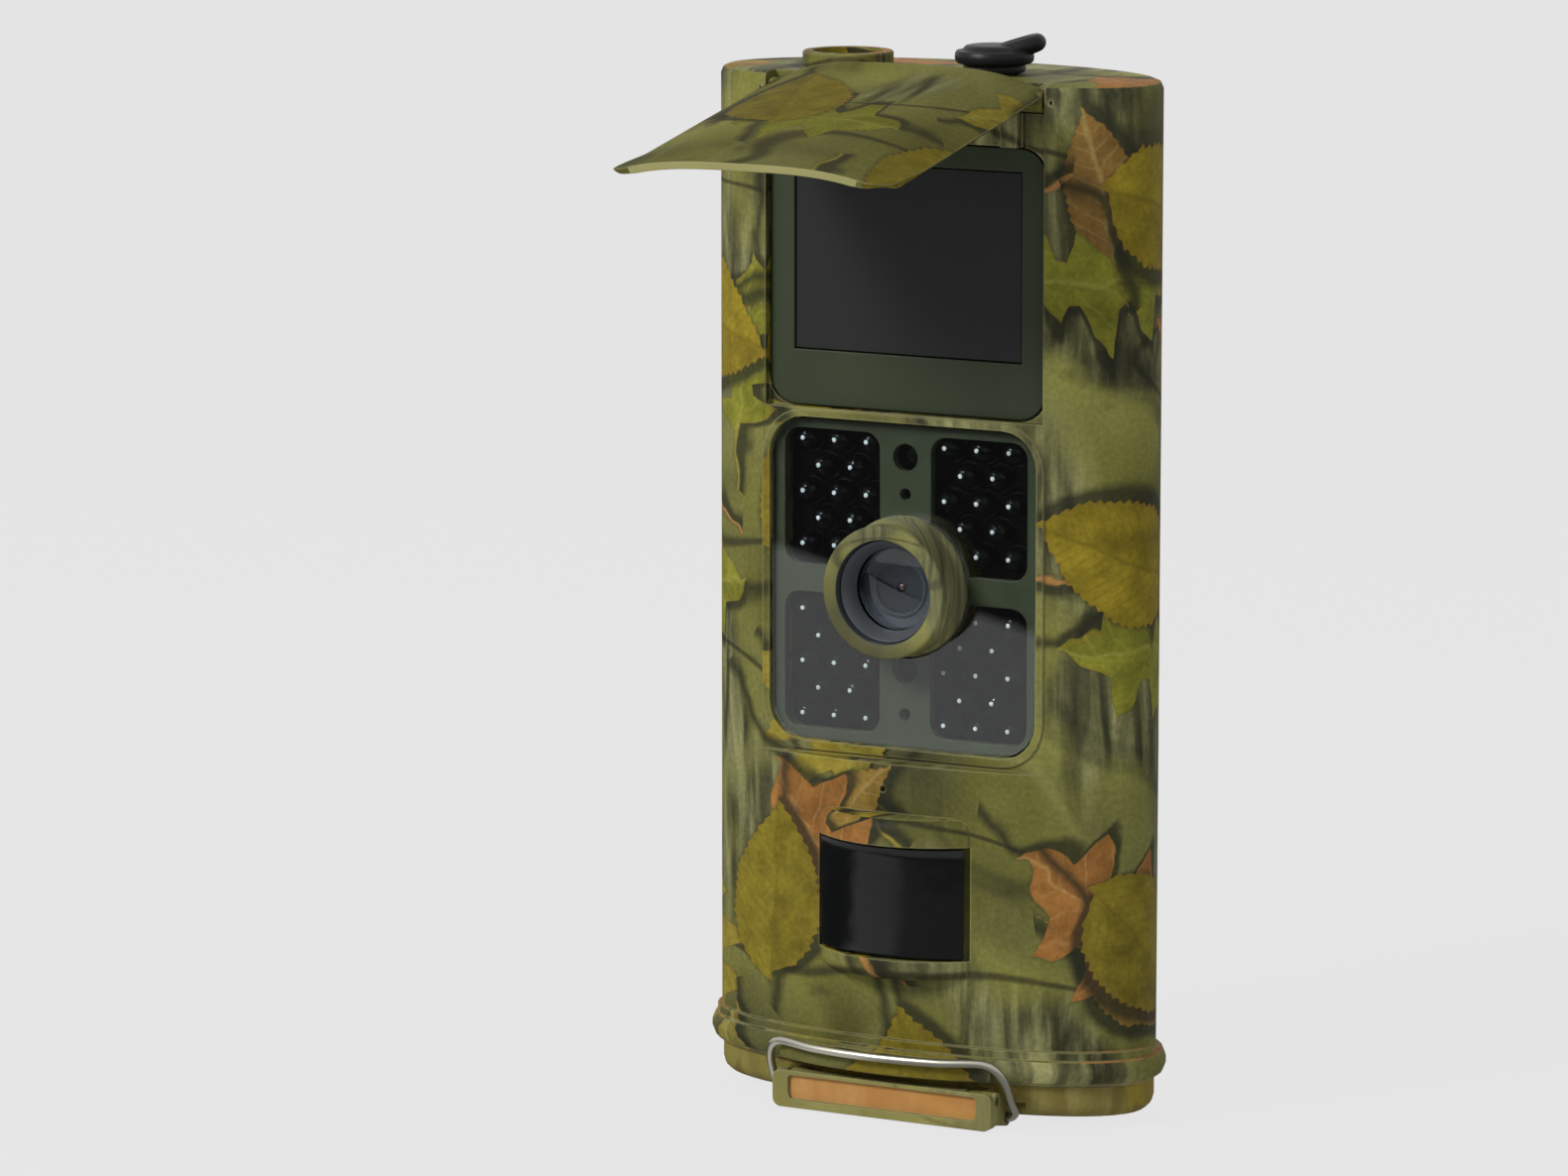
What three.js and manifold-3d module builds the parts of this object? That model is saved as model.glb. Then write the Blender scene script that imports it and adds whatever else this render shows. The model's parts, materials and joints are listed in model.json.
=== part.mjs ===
// Trail camera with a flip-up visor over its screen, a lamp panel round the lens, a motion sensor
// window, and a base cover that a wire bail and lever latch shut. Millimetres, +Z up, front towards -Y.
// Depths are counted from the lamp panel's plane, and the whole is moved at the end so that the
// origin is the middle of the foot that it stands on.
import * as THREE from 'three';
import { mergeVertices } from 'three/addons/utils/BufferGeometryUtils.js';
import Module from 'manifold-3d';

const wasm = await Module();
wasm.setup();

// Housing
const bodyHeight = 187;
const bodyHalfWidth = 42.8;
const widestDepth = 13.7;
const frontBulge = 3.6;
const topRound = 1.5;
const wall = 2.2;
const fit = 0.3;
const overrun = 6;
const frontSquareness = 2.2;
const outlineSteps = 52;

// Shell seam: level at the sides, with a tongue of the front shell at the top
const seamDepth = 17.2;
const tongueDepth = 24;
const tongueHalfWidth = 31;
const tongueHeight = 7;

// Base cover and foot
const footHeight = 2;
const coverHeight = 5.9;
const coverInset = 0.3;
const coverRound = 2.4;
const coverFloor = 1.9;
const footHalfWidth = 20;
const footHalfDepth = 10;
const footDepth = 24;
const footRound = 4;
const sealWidth = 1.4;
const sealRise = 1.1;

// Skirt band and bead round the lower edge
const bandRise = 6.2;
const bandProud = 0.8;
const beadHeight = 5;
const beadProud = 1.8;

// Rear hinge of the base cover
const hingeBarrel = 2.3;
const hingePin = 1;
const hingePinPlay = 0.3;
const hingeStandoff = 3;
const hingeDrop = 0.9;
const knuckleMiddle = 4.6;
const knuckleCover = 12;
const knuckleOuter = 17;

// Front panels
const panelMiddleShare = 0.5139;
const panelMiddle = bodyHeight * panelMiddleShare;
const panelHalfWidth = 26.4;
const panelHalfHeight = 29.1;
const panelCorner = 6.8;
const panelSeat = 3.5;
const rimWidth = 1.6;
const rimProud = 0.4;
const rimGroove = 0.9;
const recessHalfWidth = 28;
const coverGlass = 1;
const coverGlassSetback = 0.2;
const maskThickness = 1.7;
const panelWall = 2;

// Windows in the lamp panel, and the lamps
const windowInner = 5.1;
const windowOuter = 24.3;
const windowLow = 2.5;
const windowHigh = 27.2;
const windowCorner = 3;
const lensClearRadius = 13;
const lampRadius = 2.3;
const lampFirstColumn = 7.84;
const lampColumnPitch = 3.2;
const lampFirstRow = 5.9;
const lampRowPitch = 4.775;
const lampLines = 5;
const lampSides = 6;
const lampTipSetback = 0.5;
const boardThickness = 1.6;
const lightSensorRadius = 2.5;
const signalLampRadius = 1.1;
const stripHoleShares = [
  { riseShare: 0.794, radius: lightSensorRadius },
  { riseShare: 0.567, radius: signalLampRadius },
  { riseShare: -0.519, radius: lightSensorRadius },
  { riseShare: -0.801, radius: signalLampRadius },
];

// Screen
const screenFrameHalfWidth = 27.4;
const screenHingeGap = 8.5;
const screenFrameCorner = 5.2;
const screenFrameSetback = 1.6;
const screenFrameThickness = 1.6;
const screenSideMargin = 4.7;
const screenHalfWidth = screenFrameHalfWidth - screenSideMargin;
const screenLowMargin = 9.9;
const screenTopMargin = 4.1;
const screenWindowThickness = 1.2;
const displayDepth = 4.6;
const displayMargin = 1.6;

// Lens
const lensFlangeRadius = 12.7;
const lensFlangeDepth = 1.6;
const lensRingRadius = 12.05;
const lensReach = 7.7;
const lensBore = 9.25;
const lensBoreDepth = 3.4;
const retainerBore = 7.4;
const retainerThickness = 1.2;
const glassThickness = 1.6;
const lensCellRadius = 7.4;
const iris = 2.2;

// Motion sensor pod
const podHalfWidth = 14.9;
const podSide = 4.3;
const podFront = 9;
const podBottomShare = 0.317;
const podTopShare = 0.842;
const podRound = 2.2;
const windowPaneHalfWidth = 14.4;
const windowPaneSide = 3.6;
const windowPaneFront = 8;
const podSill = 3.9;
const podBrow = 5;
const windowPaneThickness = 1.2;
const sensorPortHalfWidth = 10.6;
const sensorCanRadius = 4.1;
const sensorCanHeight = 3.4;
const sensorBoardHalfWidth = 13.4;
const sensorBoardMargin = 1.2;
const microphoneRiseShare = 0.477;
const microphoneAside = -2;
const microphoneHole = 0.6;
const microphoneRadiusShare = 0.27;
const microphoneDepth = 2.2;

// Visor lid: its hinge line, and its shape when held level
const lidPivotDepth = 1.2;
const lidPivotDrop = 3.1;
const lidDroopDegrees = 10.8;
const lidHalfWidth = 27.2;
const lidOverlap = 4.7;
const lidTail = 1.9;
const lidBase = 0.6;
const lidLip = 0.5;
const lidArch = 4.1;
const lidThickness = 1.8;
const lidSquareness = 3.2;
const lidCorner = 5;
const lidBarrel = 1.9;
const lidPin = 0.8;
const lidPinPlay = 0.25;
const lidTipClearance = 1.9;
const lidTipLength = 5.4;
const postInner = 19.2;
const postOuter = 22.4;
const postRadius = 1.45;
const postGap = 0.35;
const postSlot = 0.7;

// Top: antenna collar, power jack and its plug
const collarAside = -18.3;
const topFittingDepth = 13.7;
const collarRadius = 8.15;
const collarBore = 6.4;
const collarRise = 3;
const collarSink = 0.9;
const collarSides = 48;
const connectorRadius = 3.1;
const connectorRise = 0.7;
const connectorTail = 7;
const connectorFlange = 5;
const connectorBore = 2;
const plugAside = 11;
const jackBore = 4.2;
const jackHalfWidth = 5.4;
const jackDepth = 12;
const plugStem = 3.8;
const plugStemLength = 5;
const plugNeck = 5.6;
const plugNeckRise = 2.7;
const plugDisc = 7.1;
const plugDiscRise = 4.3;
const plugCrown = 5.6;
const plugCrownRise = 5.4;
const tabLength = 8.6;
const tabHalfWidth = 3.4;
const tabThickness = 2.3;
const tabTiltDegrees = 24;
const tabTurnDegrees = 24;
const tabReach = 4.2;

// Catch ledge, lever and wire bail
const ledgeHalfWidth = 21.2;
const ledgeFront = 10.3;
const ledgeBow = 60;
const ledgeBottom = 9;
const ledgeTop = 11.9;
const ledgeRound = 0.9;
const leverHalfWidth = 22.1;
const leverFront = 7.8;
const leverThickness = 2.4;
const leverBottom = 0.5;
const leverTop = 7.3;
const leverCheek = 1.5;
const leverCheekDepth = 1.6;
const leverRim = 1.6;
const leverRecess = 0.7;
const leverPivotDepth = -5.2;
const leverPivotHeight = 5.6;
const leverPin = 0.7;
const leverPinPlay = 0.25;
const earInner = 16.6;
const earOuter = 19.4;
const earRadius = 1.5;
const bailPivotDepth = -1.4;
const bailPivotHeight = 2;
const wireRadius = 0.8;
const wirePlay = 0.25;
const bailTop = 12.6;
const bailFront = 11.6;
const bailCorner = 22.4;
const bailCornerBack = 4.2;
const bailFoot = 24;
const bailHook = 20.9;
const wireSides = 4;
const wireSteps = 44;

// Battery sleeve, tray and cells
const cellRadiusShare = 0.1694;
const cellRadius = bodyHalfWidth * cellRadiusShare;
const cellLength = 50.5;
const cellNub = 2.7;
const cellNubHeight = 1.2;
const cellsAcross = 4;
const trayWall = 0.9;
const trayBottom = 15.5;
const trayEnd = 1.5;
const trayOpenDepth = 4.6;
const sleeveWall = 1;
const rearClearance = 7.05;
const contactThickness = 1.6;
const cellSides = 12;

// Main board, control panel and its keys
const boardGap = 0.4;
const mainBoardDepth = 8.65;
const boardSideGap = 9.8;
const boardHalfWidth = bodyHalfWidth - boardSideGap;
const boardBottom = 21;
const boardTopGap = 17;
const postBossRadius = 1.8;
const panelPlateBottom = 17;
const panelPlateThickness = 2;
const panelPlateHalfWidth = 26.6;
const panelPlateFront = 0;
const keyRowDepth = 3.1;
const keyRadius = 1.6;
const keyDrop = 2.4;
const keyFlange = 2.1;
const keyFlangeHeight = 1;
const keyTravel = 0.6;
const keyPitch = 5.5;
const keyFirst = -20.4;
const keyNames = ['menu', 'up', 'down', 'left', 'right', 'ok'];
const switchAside = 18.6;
const switchHalfLength = 1.6;
const switchHalfDepth = 1.1;
const switchTravel = 3;
const socketRowDepth = 7.15;
const cardHalfWidth = 12;
const cardHeight = 32;
const cardThickness = 2.1;
const cardAside = -11.6;
const cardDrop = 1.4;
const cardChamfer = 4;
const socketWall = 0.3;
const socketHeight = 22;
const usbAside = 8;
const usbHalfWidth = 3.6;
const usbHalfDepth = 1.3;
const portHeight = 8;
const avAside = 20;
const avRadius = 1.3;
const avBore = 0.9;
const portInset = 0.6;

// Rear bracket for a strap or a stand
const bracketMiddleShare = 0.524;
const bracketHeight = 72;
const bracketHalfWidth = 24;
const bracketWeb = 3;
const bracketStandoff = 2.6;
const bracketReach = 12.6;
const bracketCheek = 3.2;
const strapSlotHeight = 27;
const strapSlotDepth = 5;
const toothCount = 9;
const toothDepth = 1.6;
const bossRadius = 8;
const insertBore = 3.2;
const insertFlange = 4.6;

// Levels and depths that follow from the sizes above
const seamLevel = footHeight + coverHeight + fit;
const sleeveHalfDepth = cellRadius + 2 * fit + trayWall + sleeveWall;
const cellDepth = mainBoardDepth + boardThickness + boardGap + sleeveHalfDepth;
const rearReach = cellDepth + sleeveHalfDepth + rearClearance - widestDepth;
const lampBoardDepth = panelSeat + panelWall + fit;
const maskBack = panelSeat - fit;
const maskFront = maskBack - maskThickness;
const glassFront = coverGlassSetback;
const lidPivotHeight = bodyHeight - lidPivotDrop;
const screenFrameBottom = panelMiddle + panelHalfHeight + rimWidth + fit + fit;
const screenFrameTop = lidPivotHeight - screenHingeGap;
const lidLength = lidPivotHeight - screenFrameBottom + lidOverlap;
const screenFrameBack = screenFrameSetback + screenFrameThickness;
const screenBottom = screenFrameBottom + screenLowMargin;
const screenHeight = screenFrameTop - screenTopMargin - screenBottom;
const recessBottom = panelMiddle - panelHalfHeight - rimWidth - rimGroove;
const podBottom = seamLevel + (recessBottom - seamLevel) * podBottomShare;
const podTop = seamLevel + (recessBottom - seamLevel) * podTopShare;
const windowPaneBottom = podBottom + podSill;
const windowPaneTop = podTop - podBrow;
const sensorBoardHalfHeight = (windowPaneTop - windowPaneBottom) / 2 - sensorBoardMargin;
const microphoneHeight = podTop + (recessBottom - podTop) * microphoneRiseShare;
const microphoneRadius = (recessBottom - podTop) * microphoneRadiusShare;
const boardTop = bodyHeight - boardTopGap;
const bracketBottom = bodyHeight * bracketMiddleShare - bracketHeight / 2;
const bracketTop = bracketBottom + bracketHeight;
const coverHingeDepth = widestDepth + rearReach + hingeStandoff;
const coverHingeHeight = seamLevel - hingeDrop;
const sleeveBottom = panelPlateBottom + panelPlateThickness + fit;
const trayTop = trayBottom + 2 * (trayEnd + fit) + 2 * (cellLength + fit);
const degree = Math.PI / 180;

// Solids from closed geometries
function solid(geometry) {
  const bare = geometry.index ? geometry.toNonIndexed() : geometry.clone();
  bare.deleteAttribute('normal');
  bare.deleteAttribute('uv');
  const merged = mergeVertices(bare, 1e-5);
  const index = merged.index.array;
  const corners = [];
  for (let i = 0; i < index.length; i += 3) {
    const [a, b, c] = [index[i], index[i + 1], index[i + 2]];
    if (a !== b && b !== c && c !== a) corners.push(a, b, c);
  }
  return new wasm.Manifold(new wasm.Mesh({
    numProp: 3,
    vertProperties: new Float32Array(merged.attributes.position.array),
    triVerts: new Uint32Array(corners),
  }));
}

function geometryOf(shape) {
  const mesh = shape.getMesh();
  const geometry = new THREE.BufferGeometry();
  const places = new Float32Array(mesh.numVert * 3);
  for (let i = 0; i < mesh.numVert; i++) {
    places.set(mesh.vertProperties.subarray(i * mesh.numProp, i * mesh.numProp + 3), i * 3);
  }
  geometry.setAttribute('position', new THREE.BufferAttribute(places, 3));
  geometry.setIndex(new THREE.BufferAttribute(mesh.triVerts, 1));
  const flat = geometry.toNonIndexed();
  flat.computeVertexNormals();
  return flat;
}

const join = (first, ...rest) => rest.reduce((made, next) => made.add(next), first);
const cut = (first, ...rest) => rest.reduce((made, next) => made.subtract(next), first);
const common = (first, ...rest) => rest.reduce((made, next) => made.intersect(next), first);

// Flat outlines, and prisms of them along each axis
const axisX = new THREE.Vector3(1, 0, 0);
const axisY = new THREE.Vector3(0, 1, 0);
const axisZ = new THREE.Vector3(0, 0, 1);
const alongX = new THREE.Matrix4().makeBasis(axisY, axisZ, axisX);
const alongY = new THREE.Matrix4().makeBasis(axisX, axisZ, axisY.clone().negate());

function extruded(shape, length, options = {}) {
  return new THREE.ExtrudeGeometry(shape, { depth: length, bevelEnabled: false, curveSegments: 3,
    ...options });
}

function prismZ(shape, low, high, options) {
  return solid(extruded(shape, high - low, options).translate(0, 0, low));
}

function prismY(shape, front, back, options) {
  return solid(extruded(shape, back - front, options).applyMatrix4(alongY).translate(0, back, 0));
}

function prismX(shape, left, right, options) {
  return solid(extruded(shape, right - left, options).applyMatrix4(alongX).translate(left, 0, 0));
}

function box(left, right, front, back, low, high) {
  const geometry = new THREE.BoxGeometry(right - left, back - front, high - low);
  return solid(geometry.translate((left + right) / 2, (front + back) / 2, (low + high) / 2));
}

function polygon(points) {
  return new THREE.Shape(points.map(([x, y]) => new THREE.Vector2(x, y)));
}

function roundedRectangle(halfWidth, low, high, corner, middle = 0) {
  const [left, right] = [middle - halfWidth, middle + halfWidth];
  const shape = new THREE.Shape();
  shape.moveTo(left + corner, low);
  shape.lineTo(right - corner, low);
  shape.absarc(right - corner, low + corner, corner, -Math.PI / 2, 0);
  shape.lineTo(right, high - corner);
  shape.absarc(right - corner, high - corner, corner, 0, Math.PI / 2);
  shape.lineTo(left + corner, high);
  shape.absarc(left + corner, high - corner, corner, Math.PI / 2, Math.PI);
  shape.lineTo(left, low + corner);
  shape.absarc(left + corner, low + corner, corner, Math.PI, Math.PI * 1.5);
  return shape;
}

// Turned pieces: profiles of [radius, place] that start and end on the axis
function turned(profile, sides = 24) {
  return new THREE.LatheGeometry(profile.map(([r, z]) => new THREE.Vector2(r, z)), sides);
}

function turnedZ(profile, x, y, sides) {
  return solid(turned(profile, sides).rotateX(Math.PI / 2).translate(x, y, 0));
}

function turnedY(profile, x, z, sides) {
  return solid(turned(profile, sides).translate(x, 0, z));
}

function rodZ(radius, x, y, low, high, sides) {
  return turnedZ([[0, low], [radius, low], [radius, high], [0, high]], x, y, sides);
}

function rodY(radius, x, z, front, back, sides) {
  return turnedY([[0, front], [radius, front], [radius, back], [0, back]], x, z, sides);
}

function rodX(radius, y, z, left, right, sides) {
  const rod = turned([[0, left], [radius, left], [radius, right], [0, right]], sides);
  return solid(rod.rotateZ(-Math.PI / 2).translate(0, y, z));
}

// The housing's outline seen from above: a squarish half ellipse in front and a plain one behind.
// grow moves it outwards, or inwards where it is negative.
function outlinePoints(grow) {
  const points = [];
  for (let i = 0; i < outlineSteps; i++) {
    const angle = (2 * Math.PI * i) / outlineSteps;
    const front = Math.sin(angle) < 0;
    const power = front ? 2 / frontSquareness : 1;
    const reach = front ? widestDepth + frontBulge : rearReach;
    const across = Math.sign(Math.cos(angle)) * Math.abs(Math.cos(angle)) ** power;
    const along = Math.sign(Math.sin(angle)) * Math.abs(Math.sin(angle)) ** power;
    points.push([(bodyHalfWidth + grow) * across, widestDepth + (reach + grow) * along]);
  }
  return points;
}

const outline = (grow) => polygon(outlinePoints(grow));

// A bar across the front whose face is an arc through (halfWidth, side) with its middle at front
function bowedBar(halfWidth, side, front, back) {
  const rise = front - side;
  const radius = (halfWidth ** 2 + rise ** 2) / (2 * rise);
  const swing = Math.asin(halfWidth / radius);
  const shape = new THREE.Shape();
  shape.moveTo(halfWidth, back);
  shape.lineTo(-halfWidth, back);
  shape.absarc(0, radius - front, radius, -Math.PI / 2 - swing, -Math.PI / 2 + swing);
  return shape;
}

// The body of the part, and its pieces
const camera = new THREE.Group();
camera.name = 'trail_camera';
camera.position.y = -footDepth;

function finish(colour, roughness, metalness = 0) {
  return new THREE.MeshStandardMaterial({ color: colour, roughness, metalness });
}

const camouflage = () => finish('#7a7c46', 0.55);
const darkOlive = () => finish('#2f3a25', 0.5);
const blackPlastic = () => finish('#16181a', 0.4);
const steel = () => finish('#c8c8c8', 0.3, 1);
const boardGreen = () => finish('#1d4d2b', 0.6);
const rubber = () => finish('#1e2228', 0.8);

function add(name, shape, material, parent = camera) {
  const mesh = new THREE.Mesh(shape instanceof THREE.BufferGeometry ? shape : geometryOf(shape), material);
  mesh.name = name;
  parent.add(mesh);
  return mesh;
}

// Housing: one shelled block with its band, bead, panels' recess, pod and ledge, cut at the seam
function housingBlock() {
  const rounded = {
    bevelEnabled: true, bevelThickness: topRound, bevelSize: topRound, bevelOffset: -topRound,
      bevelSegments: 2,
  };
  const tall = prismZ(outline(0), seamLevel - overrun + topRound, bodyHeight - topRound, rounded);
  const above = box(-bodyHalfWidth * 2, bodyHalfWidth * 2, -bodyHalfWidth * 2, bodyHalfWidth * 2,
    seamLevel, bodyHeight + overrun);
  const frontHalf = box(-bodyHalfWidth * 2, bodyHalfWidth * 2, -bodyHalfWidth * 2, widestDepth,
    seamLevel, bodyHeight);
  const band = common(prismZ(outline(bandProud), seamLevel, seamLevel + bandRise), frontHalf);
  const beadRound = beadProud * 1.05;
  const bead = prismZ(outline(0), seamLevel + beadRound, seamLevel + beadHeight - beadRound, {
    bevelEnabled: true, bevelThickness: beadRound, bevelSize: beadProud, bevelSegments: 2,
  });
  return join(common(tall, above), band, bead);
}

function housingCavity() {
  const hollow = prismZ(outline(-wall), seamLevel - overrun, bodyHeight - wall);
  const panelBacking = box(-recessHalfWidth - wall, recessHalfWidth + wall, -overrun * 2,
    lampBoardDepth - fit,
    recessBottom - wall, bodyHeight);
  const hingeBacking = box(-recessHalfWidth - wall, recessHalfWidth + wall, -overrun * 2,
    hingePocketBack() + wall, hingePocketFloor() - wall, bodyHeight);
  return cut(hollow, panelBacking, hingeBacking);
}

const hingePocketBack = () => lidPivotDepth + lidTail + 2 * fit;
const hingePocketFloor = () => lidPivotHeight - lidBarrel - fit;

function frontRecesses() {
  const clear = -frontBulge - overrun;
  const face = box(-recessHalfWidth, recessHalfWidth, clear, 0, recessBottom, bodyHeight + overrun);
  const screenPocket = box(-screenFrameHalfWidth - fit, screenFrameHalfWidth + fit, clear,
    screenFrameSetback,
    screenFrameBottom - fit, bodyHeight + overrun);
  const frameSeat = prismY(roundedRectangle(screenFrameHalfWidth + fit, screenFrameBottom - fit,
    screenFrameTop + fit, screenFrameCorner), clear, panelSeat);
  const hingePocket = box(-screenFrameHalfWidth - fit, screenFrameHalfWidth + fit, clear, hingePocketBack(),
    hingePocketFloor(), bodyHeight + overrun);
  return [face, screenPocket, frameSeat, hingePocket];
}

function lampPanelPocket(rim) {
  const low = panelMiddle - panelHalfHeight - fit;
  const high = panelMiddle + panelHalfHeight + fit;
  const seat = prismY(roundedRectangle(panelHalfWidth + fit, low, high, panelCorner),
    -frontBulge - overrun, panelSeat);
  if (!rim) return seat;
  return prismY(roundedRectangle(panelHalfWidth + fit + rimWidth - fit / 2, low - rimWidth,
    high + rimWidth - fit,
    panelCorner + rimWidth), -rimProud, panelSeat);
}

function panelWallOpenings() {
  const through = panelSeat + panelWall + overrun;
  const display = box(-screenHalfWidth - displayMargin - fit, screenHalfWidth + displayMargin + fit, 0,
    through,
    screenBottom - displayMargin - fit, screenBottom + screenHeight + displayMargin + fit);
  const lamps = prismY(roundedRectangle(windowOuter + 2 * fit, panelMiddle - windowHigh - 2 * fit,
    panelMiddle + windowHigh + 2 * fit, windowCorner), 0, through);
  return [display, lamps];
}

function sensorPod() {
  const bar = prismZ(bowedBar(podHalfWidth - podRound, podSide - podRound, podFront - podRound,
    widestDepth / 2),
    podBottom + podRound, podTop - podRound,
    { bevelEnabled: true, bevelThickness: podRound, bevelSize: podRound, bevelSegments: 3,
      curveSegments: 6 });
  return common(bar, box(-bodyHalfWidth, bodyHalfWidth, -bodyHalfWidth, 0, 0, bodyHeight));
}

function sensorPodCuts() {
  const slot = box(-podHalfWidth - fit, podHalfWidth + fit, -podFront - overrun,
    -windowPaneSide + windowPaneThickness + fit, windowPaneBottom, windowPaneTop);
  const port = box(-sensorPortHalfWidth, sensorPortHalfWidth, -podFront, widestDepth / 2,
    windowPaneBottom + windowPaneThickness, windowPaneTop - windowPaneThickness);
  return [slot, port];
}

function catchLedge() {
  const radius = ledgeBow;
  const swing = Math.asin((ledgeHalfWidth - ledgeRound) / radius);
  const shape = new THREE.Shape();
  shape.moveTo(ledgeHalfWidth - ledgeRound, 0);
  shape.lineTo(-ledgeHalfWidth + ledgeRound, 0);
  shape.absarc(0, radius - ledgeFront + ledgeRound, radius, -Math.PI / 2 - swing, -Math.PI / 2 + swing);
  return prismZ(shape, ledgeBottom + ledgeRound, ledgeTop - ledgeRound,
    { bevelEnabled: true, bevelThickness: ledgeRound, bevelSize: ledgeRound, bevelSegments: 2,
      curveSegments: 5 });
}

function hingePosts() {
  const posts = [];
  for (const side of [-1, 1]) {
    const [left, right] = side < 0 ? [-postOuter, -postInner] : [postInner, postOuter];
    const stem = box(left, right, lidPivotDepth - postRadius, panelSeat + fit, hingePocketFloor() - overrun,
      lidPivotHeight);
    const back = box(left, right, lidPivotDepth, hingePocketBack() + fit, hingePocketFloor() - fit,
      lidPivotHeight - fit);
    posts.push(stem, back, rodX(postRadius, lidPivotDepth, lidPivotHeight, left, right, 16));
  }
  return posts;
}

function hingePostSlots() {
  const slots = [];
  for (const side of [-1, 1]) {
    for (const edge of [postInner - postSlot / 2, postOuter + postSlot]) {
      slots.push(box(side * edge - postSlot / 2, side * edge + postSlot / 2, -frontBulge - overrun,
        screenFrameSetback + postSlot, screenFrameTop + fit, hingePocketFloor() + fit));
    }
  }
  return slots;
}

function topFittings() {
  const collar = turnedZ([[0, bodyHeight - wall], [collarRadius, bodyHeight - wall],
    [collarRadius, bodyHeight + collarRise - fit], [collarRadius - fit, bodyHeight + collarRise],
    [0, bodyHeight + collarRise]], collarAside, topFittingDepth, collarSides);
  const bore = rodZ(collarBore, collarAside, topFittingDepth, bodyHeight - collarSink,
    bodyHeight + collarRise + overrun, collarSides);
  const connectorHole = rodZ(connectorRadius + fit, collarAside, topFittingDepth,
    bodyHeight - wall - overrun,
    bodyHeight + overrun, 18);
  const jackHole = rodZ(jackBore, plugAside, topFittingDepth, bodyHeight - wall - overrun,
    bodyHeight + overrun, 20);
  return { collar, cuts: [bore, connectorHole, jackHole] };
}

// Bosses inside the front shell that carry the boards and the control panel
function frontBosses() {
  const bosses = [];
  for (const side of [-1, 1]) {
    for (const height of [panelMiddle + panelHalfHeight, panelMiddle - panelHalfHeight]) {
      bosses.push(rodY(postBossRadius, side * (panelHalfWidth + postBossRadius), height,
        panelSeat + panelWall - fit,
        mainBoardDepth - fit, 10));
    }
    for (const height of [windowPaneBottom + postBossRadius, windowPaneTop - postBossRadius]) {
      bosses.push(rodY(postBossRadius * 0.7, side * (sensorBoardHalfWidth - postBossRadius), height, -wall,
        sensorBoardFront() - fit, 8));
    }
    const plateTop = panelPlateBottom + panelPlateThickness + fit;
    const [inner, outer] = [panelPlateHalfWidth - postBossRadius, panelPlateHalfWidth + postBossRadius];
    bosses.push(box(side < 0 ? -outer : inner, side < 0 ? -inner : outer, 0, mainBoardDepth - fit,
      plateTop, plateTop + keyBoardRise() + boardThickness));
  }
  return bosses;
}

const sensorBoardFront = () => sensorCanHeight - windowPaneSide + windowPaneThickness;
const keyBoardRise = () => keyFlangeHeight + keyTravel + 2 * fit + postBossRadius / 2;

function seamCutter(gap) {
  const wide = bodyHalfWidth * 2;
  const front = box(-wide, wide, -wide, seamDepth - gap, seamLevel - overrun, bodyHeight + overrun * 2);
  const tongue = box(-tongueHalfWidth + gap, tongueHalfWidth - gap, 0, tongueDepth - gap,
    bodyHeight - tongueHeight + gap, bodyHeight + overrun * 2);
  return join(front, tongue);
}

function buildShells() {
  const { collar, cuts: topCuts } = topFittings();
  const hollow = housingCavity();
  let block = join(housingBlock(), sensorPod(), catchLedge());
  block = cut(block, ...frontRecesses());
  block = join(block, lampPanelPocket(true));
  block = cut(block, lampPanelPocket(false));
  block = join(block, ...hingePosts(), collar);
  block = cut(block, hollow, ...topCuts, ...panelWallOpenings(), ...sensorPodCuts(), ...hingePostSlots());
  block = cut(block, rodX(lidPin + lidPinPlay, lidPivotDepth, lidPivotHeight, -recessHalfWidth - wall / 2,
    recessHalfWidth + wall / 2, 12));
  block = cut(block, rodY(microphoneHole, microphoneAside, microphoneHeight, -podFront, widestDepth / 2,
    8));
  const front = join(common(block, seamCutter(0)), ...frontBosses());
  const rear = cut(block, seamCutter(-fit));
  add('front_shell', front, camouflage());
  add('rear_shell', join(rear, ...rearFittings()), camouflage());
}

// Behind: seats for the battery sleeve, and the knuckles that carry the base cover
function rearFittings() {
  const rearInside = widestDepth + rearReach - wall;
  const fittings = [];
  for (const side of [-1, 1]) {
    const aside = side * cellRadius * 1.5;
    fittings.push(box(aside - wall / 2, aside + wall / 2, cellDepth + sleeveHalfDepth + fit, rearInside,
      sleeveBottom, trayTop));
  }
  const spans = [[-knuckleMiddle, knuckleMiddle], [knuckleCover + fit, knuckleOuter],
    [-knuckleOuter, -knuckleCover - fit]];
  for (const [left, right] of spans) fittings.push(housingKnuckle(left, right));
  return fittings;
}

function housingKnuckle(left, right) {
  const top = coverHingeHeight + hingeBarrel * 3.2;
  const web = prismX(polygon([
    [coverHingeDepth - hingeBarrel - hingeStandoff, seamLevel],
    [coverHingeDepth - hingeBarrel * 0.2, seamLevel],
    [coverHingeDepth + hingeBarrel, coverHingeHeight + hingeBarrel * 0.2],
    [coverHingeDepth + hingeBarrel, coverHingeHeight + hingeBarrel],
    [coverHingeDepth - hingeBarrel - hingeStandoff, top],
  ]), left, right);
  const barrel = rodX(hingeBarrel, coverHingeDepth, coverHingeHeight, left, right, 16);
  const bore = rodX(hingePin + hingePinPlay, coverHingeDepth, coverHingeHeight, left - overrun,
    right + overrun, 12);
  return cut(join(web, barrel), bore);
}

function sealRing() {
  const ring = outline(-wall - fit);
  ring.holes.push(outline(-wall - fit - sealWidth));
  return ring;
}

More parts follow.
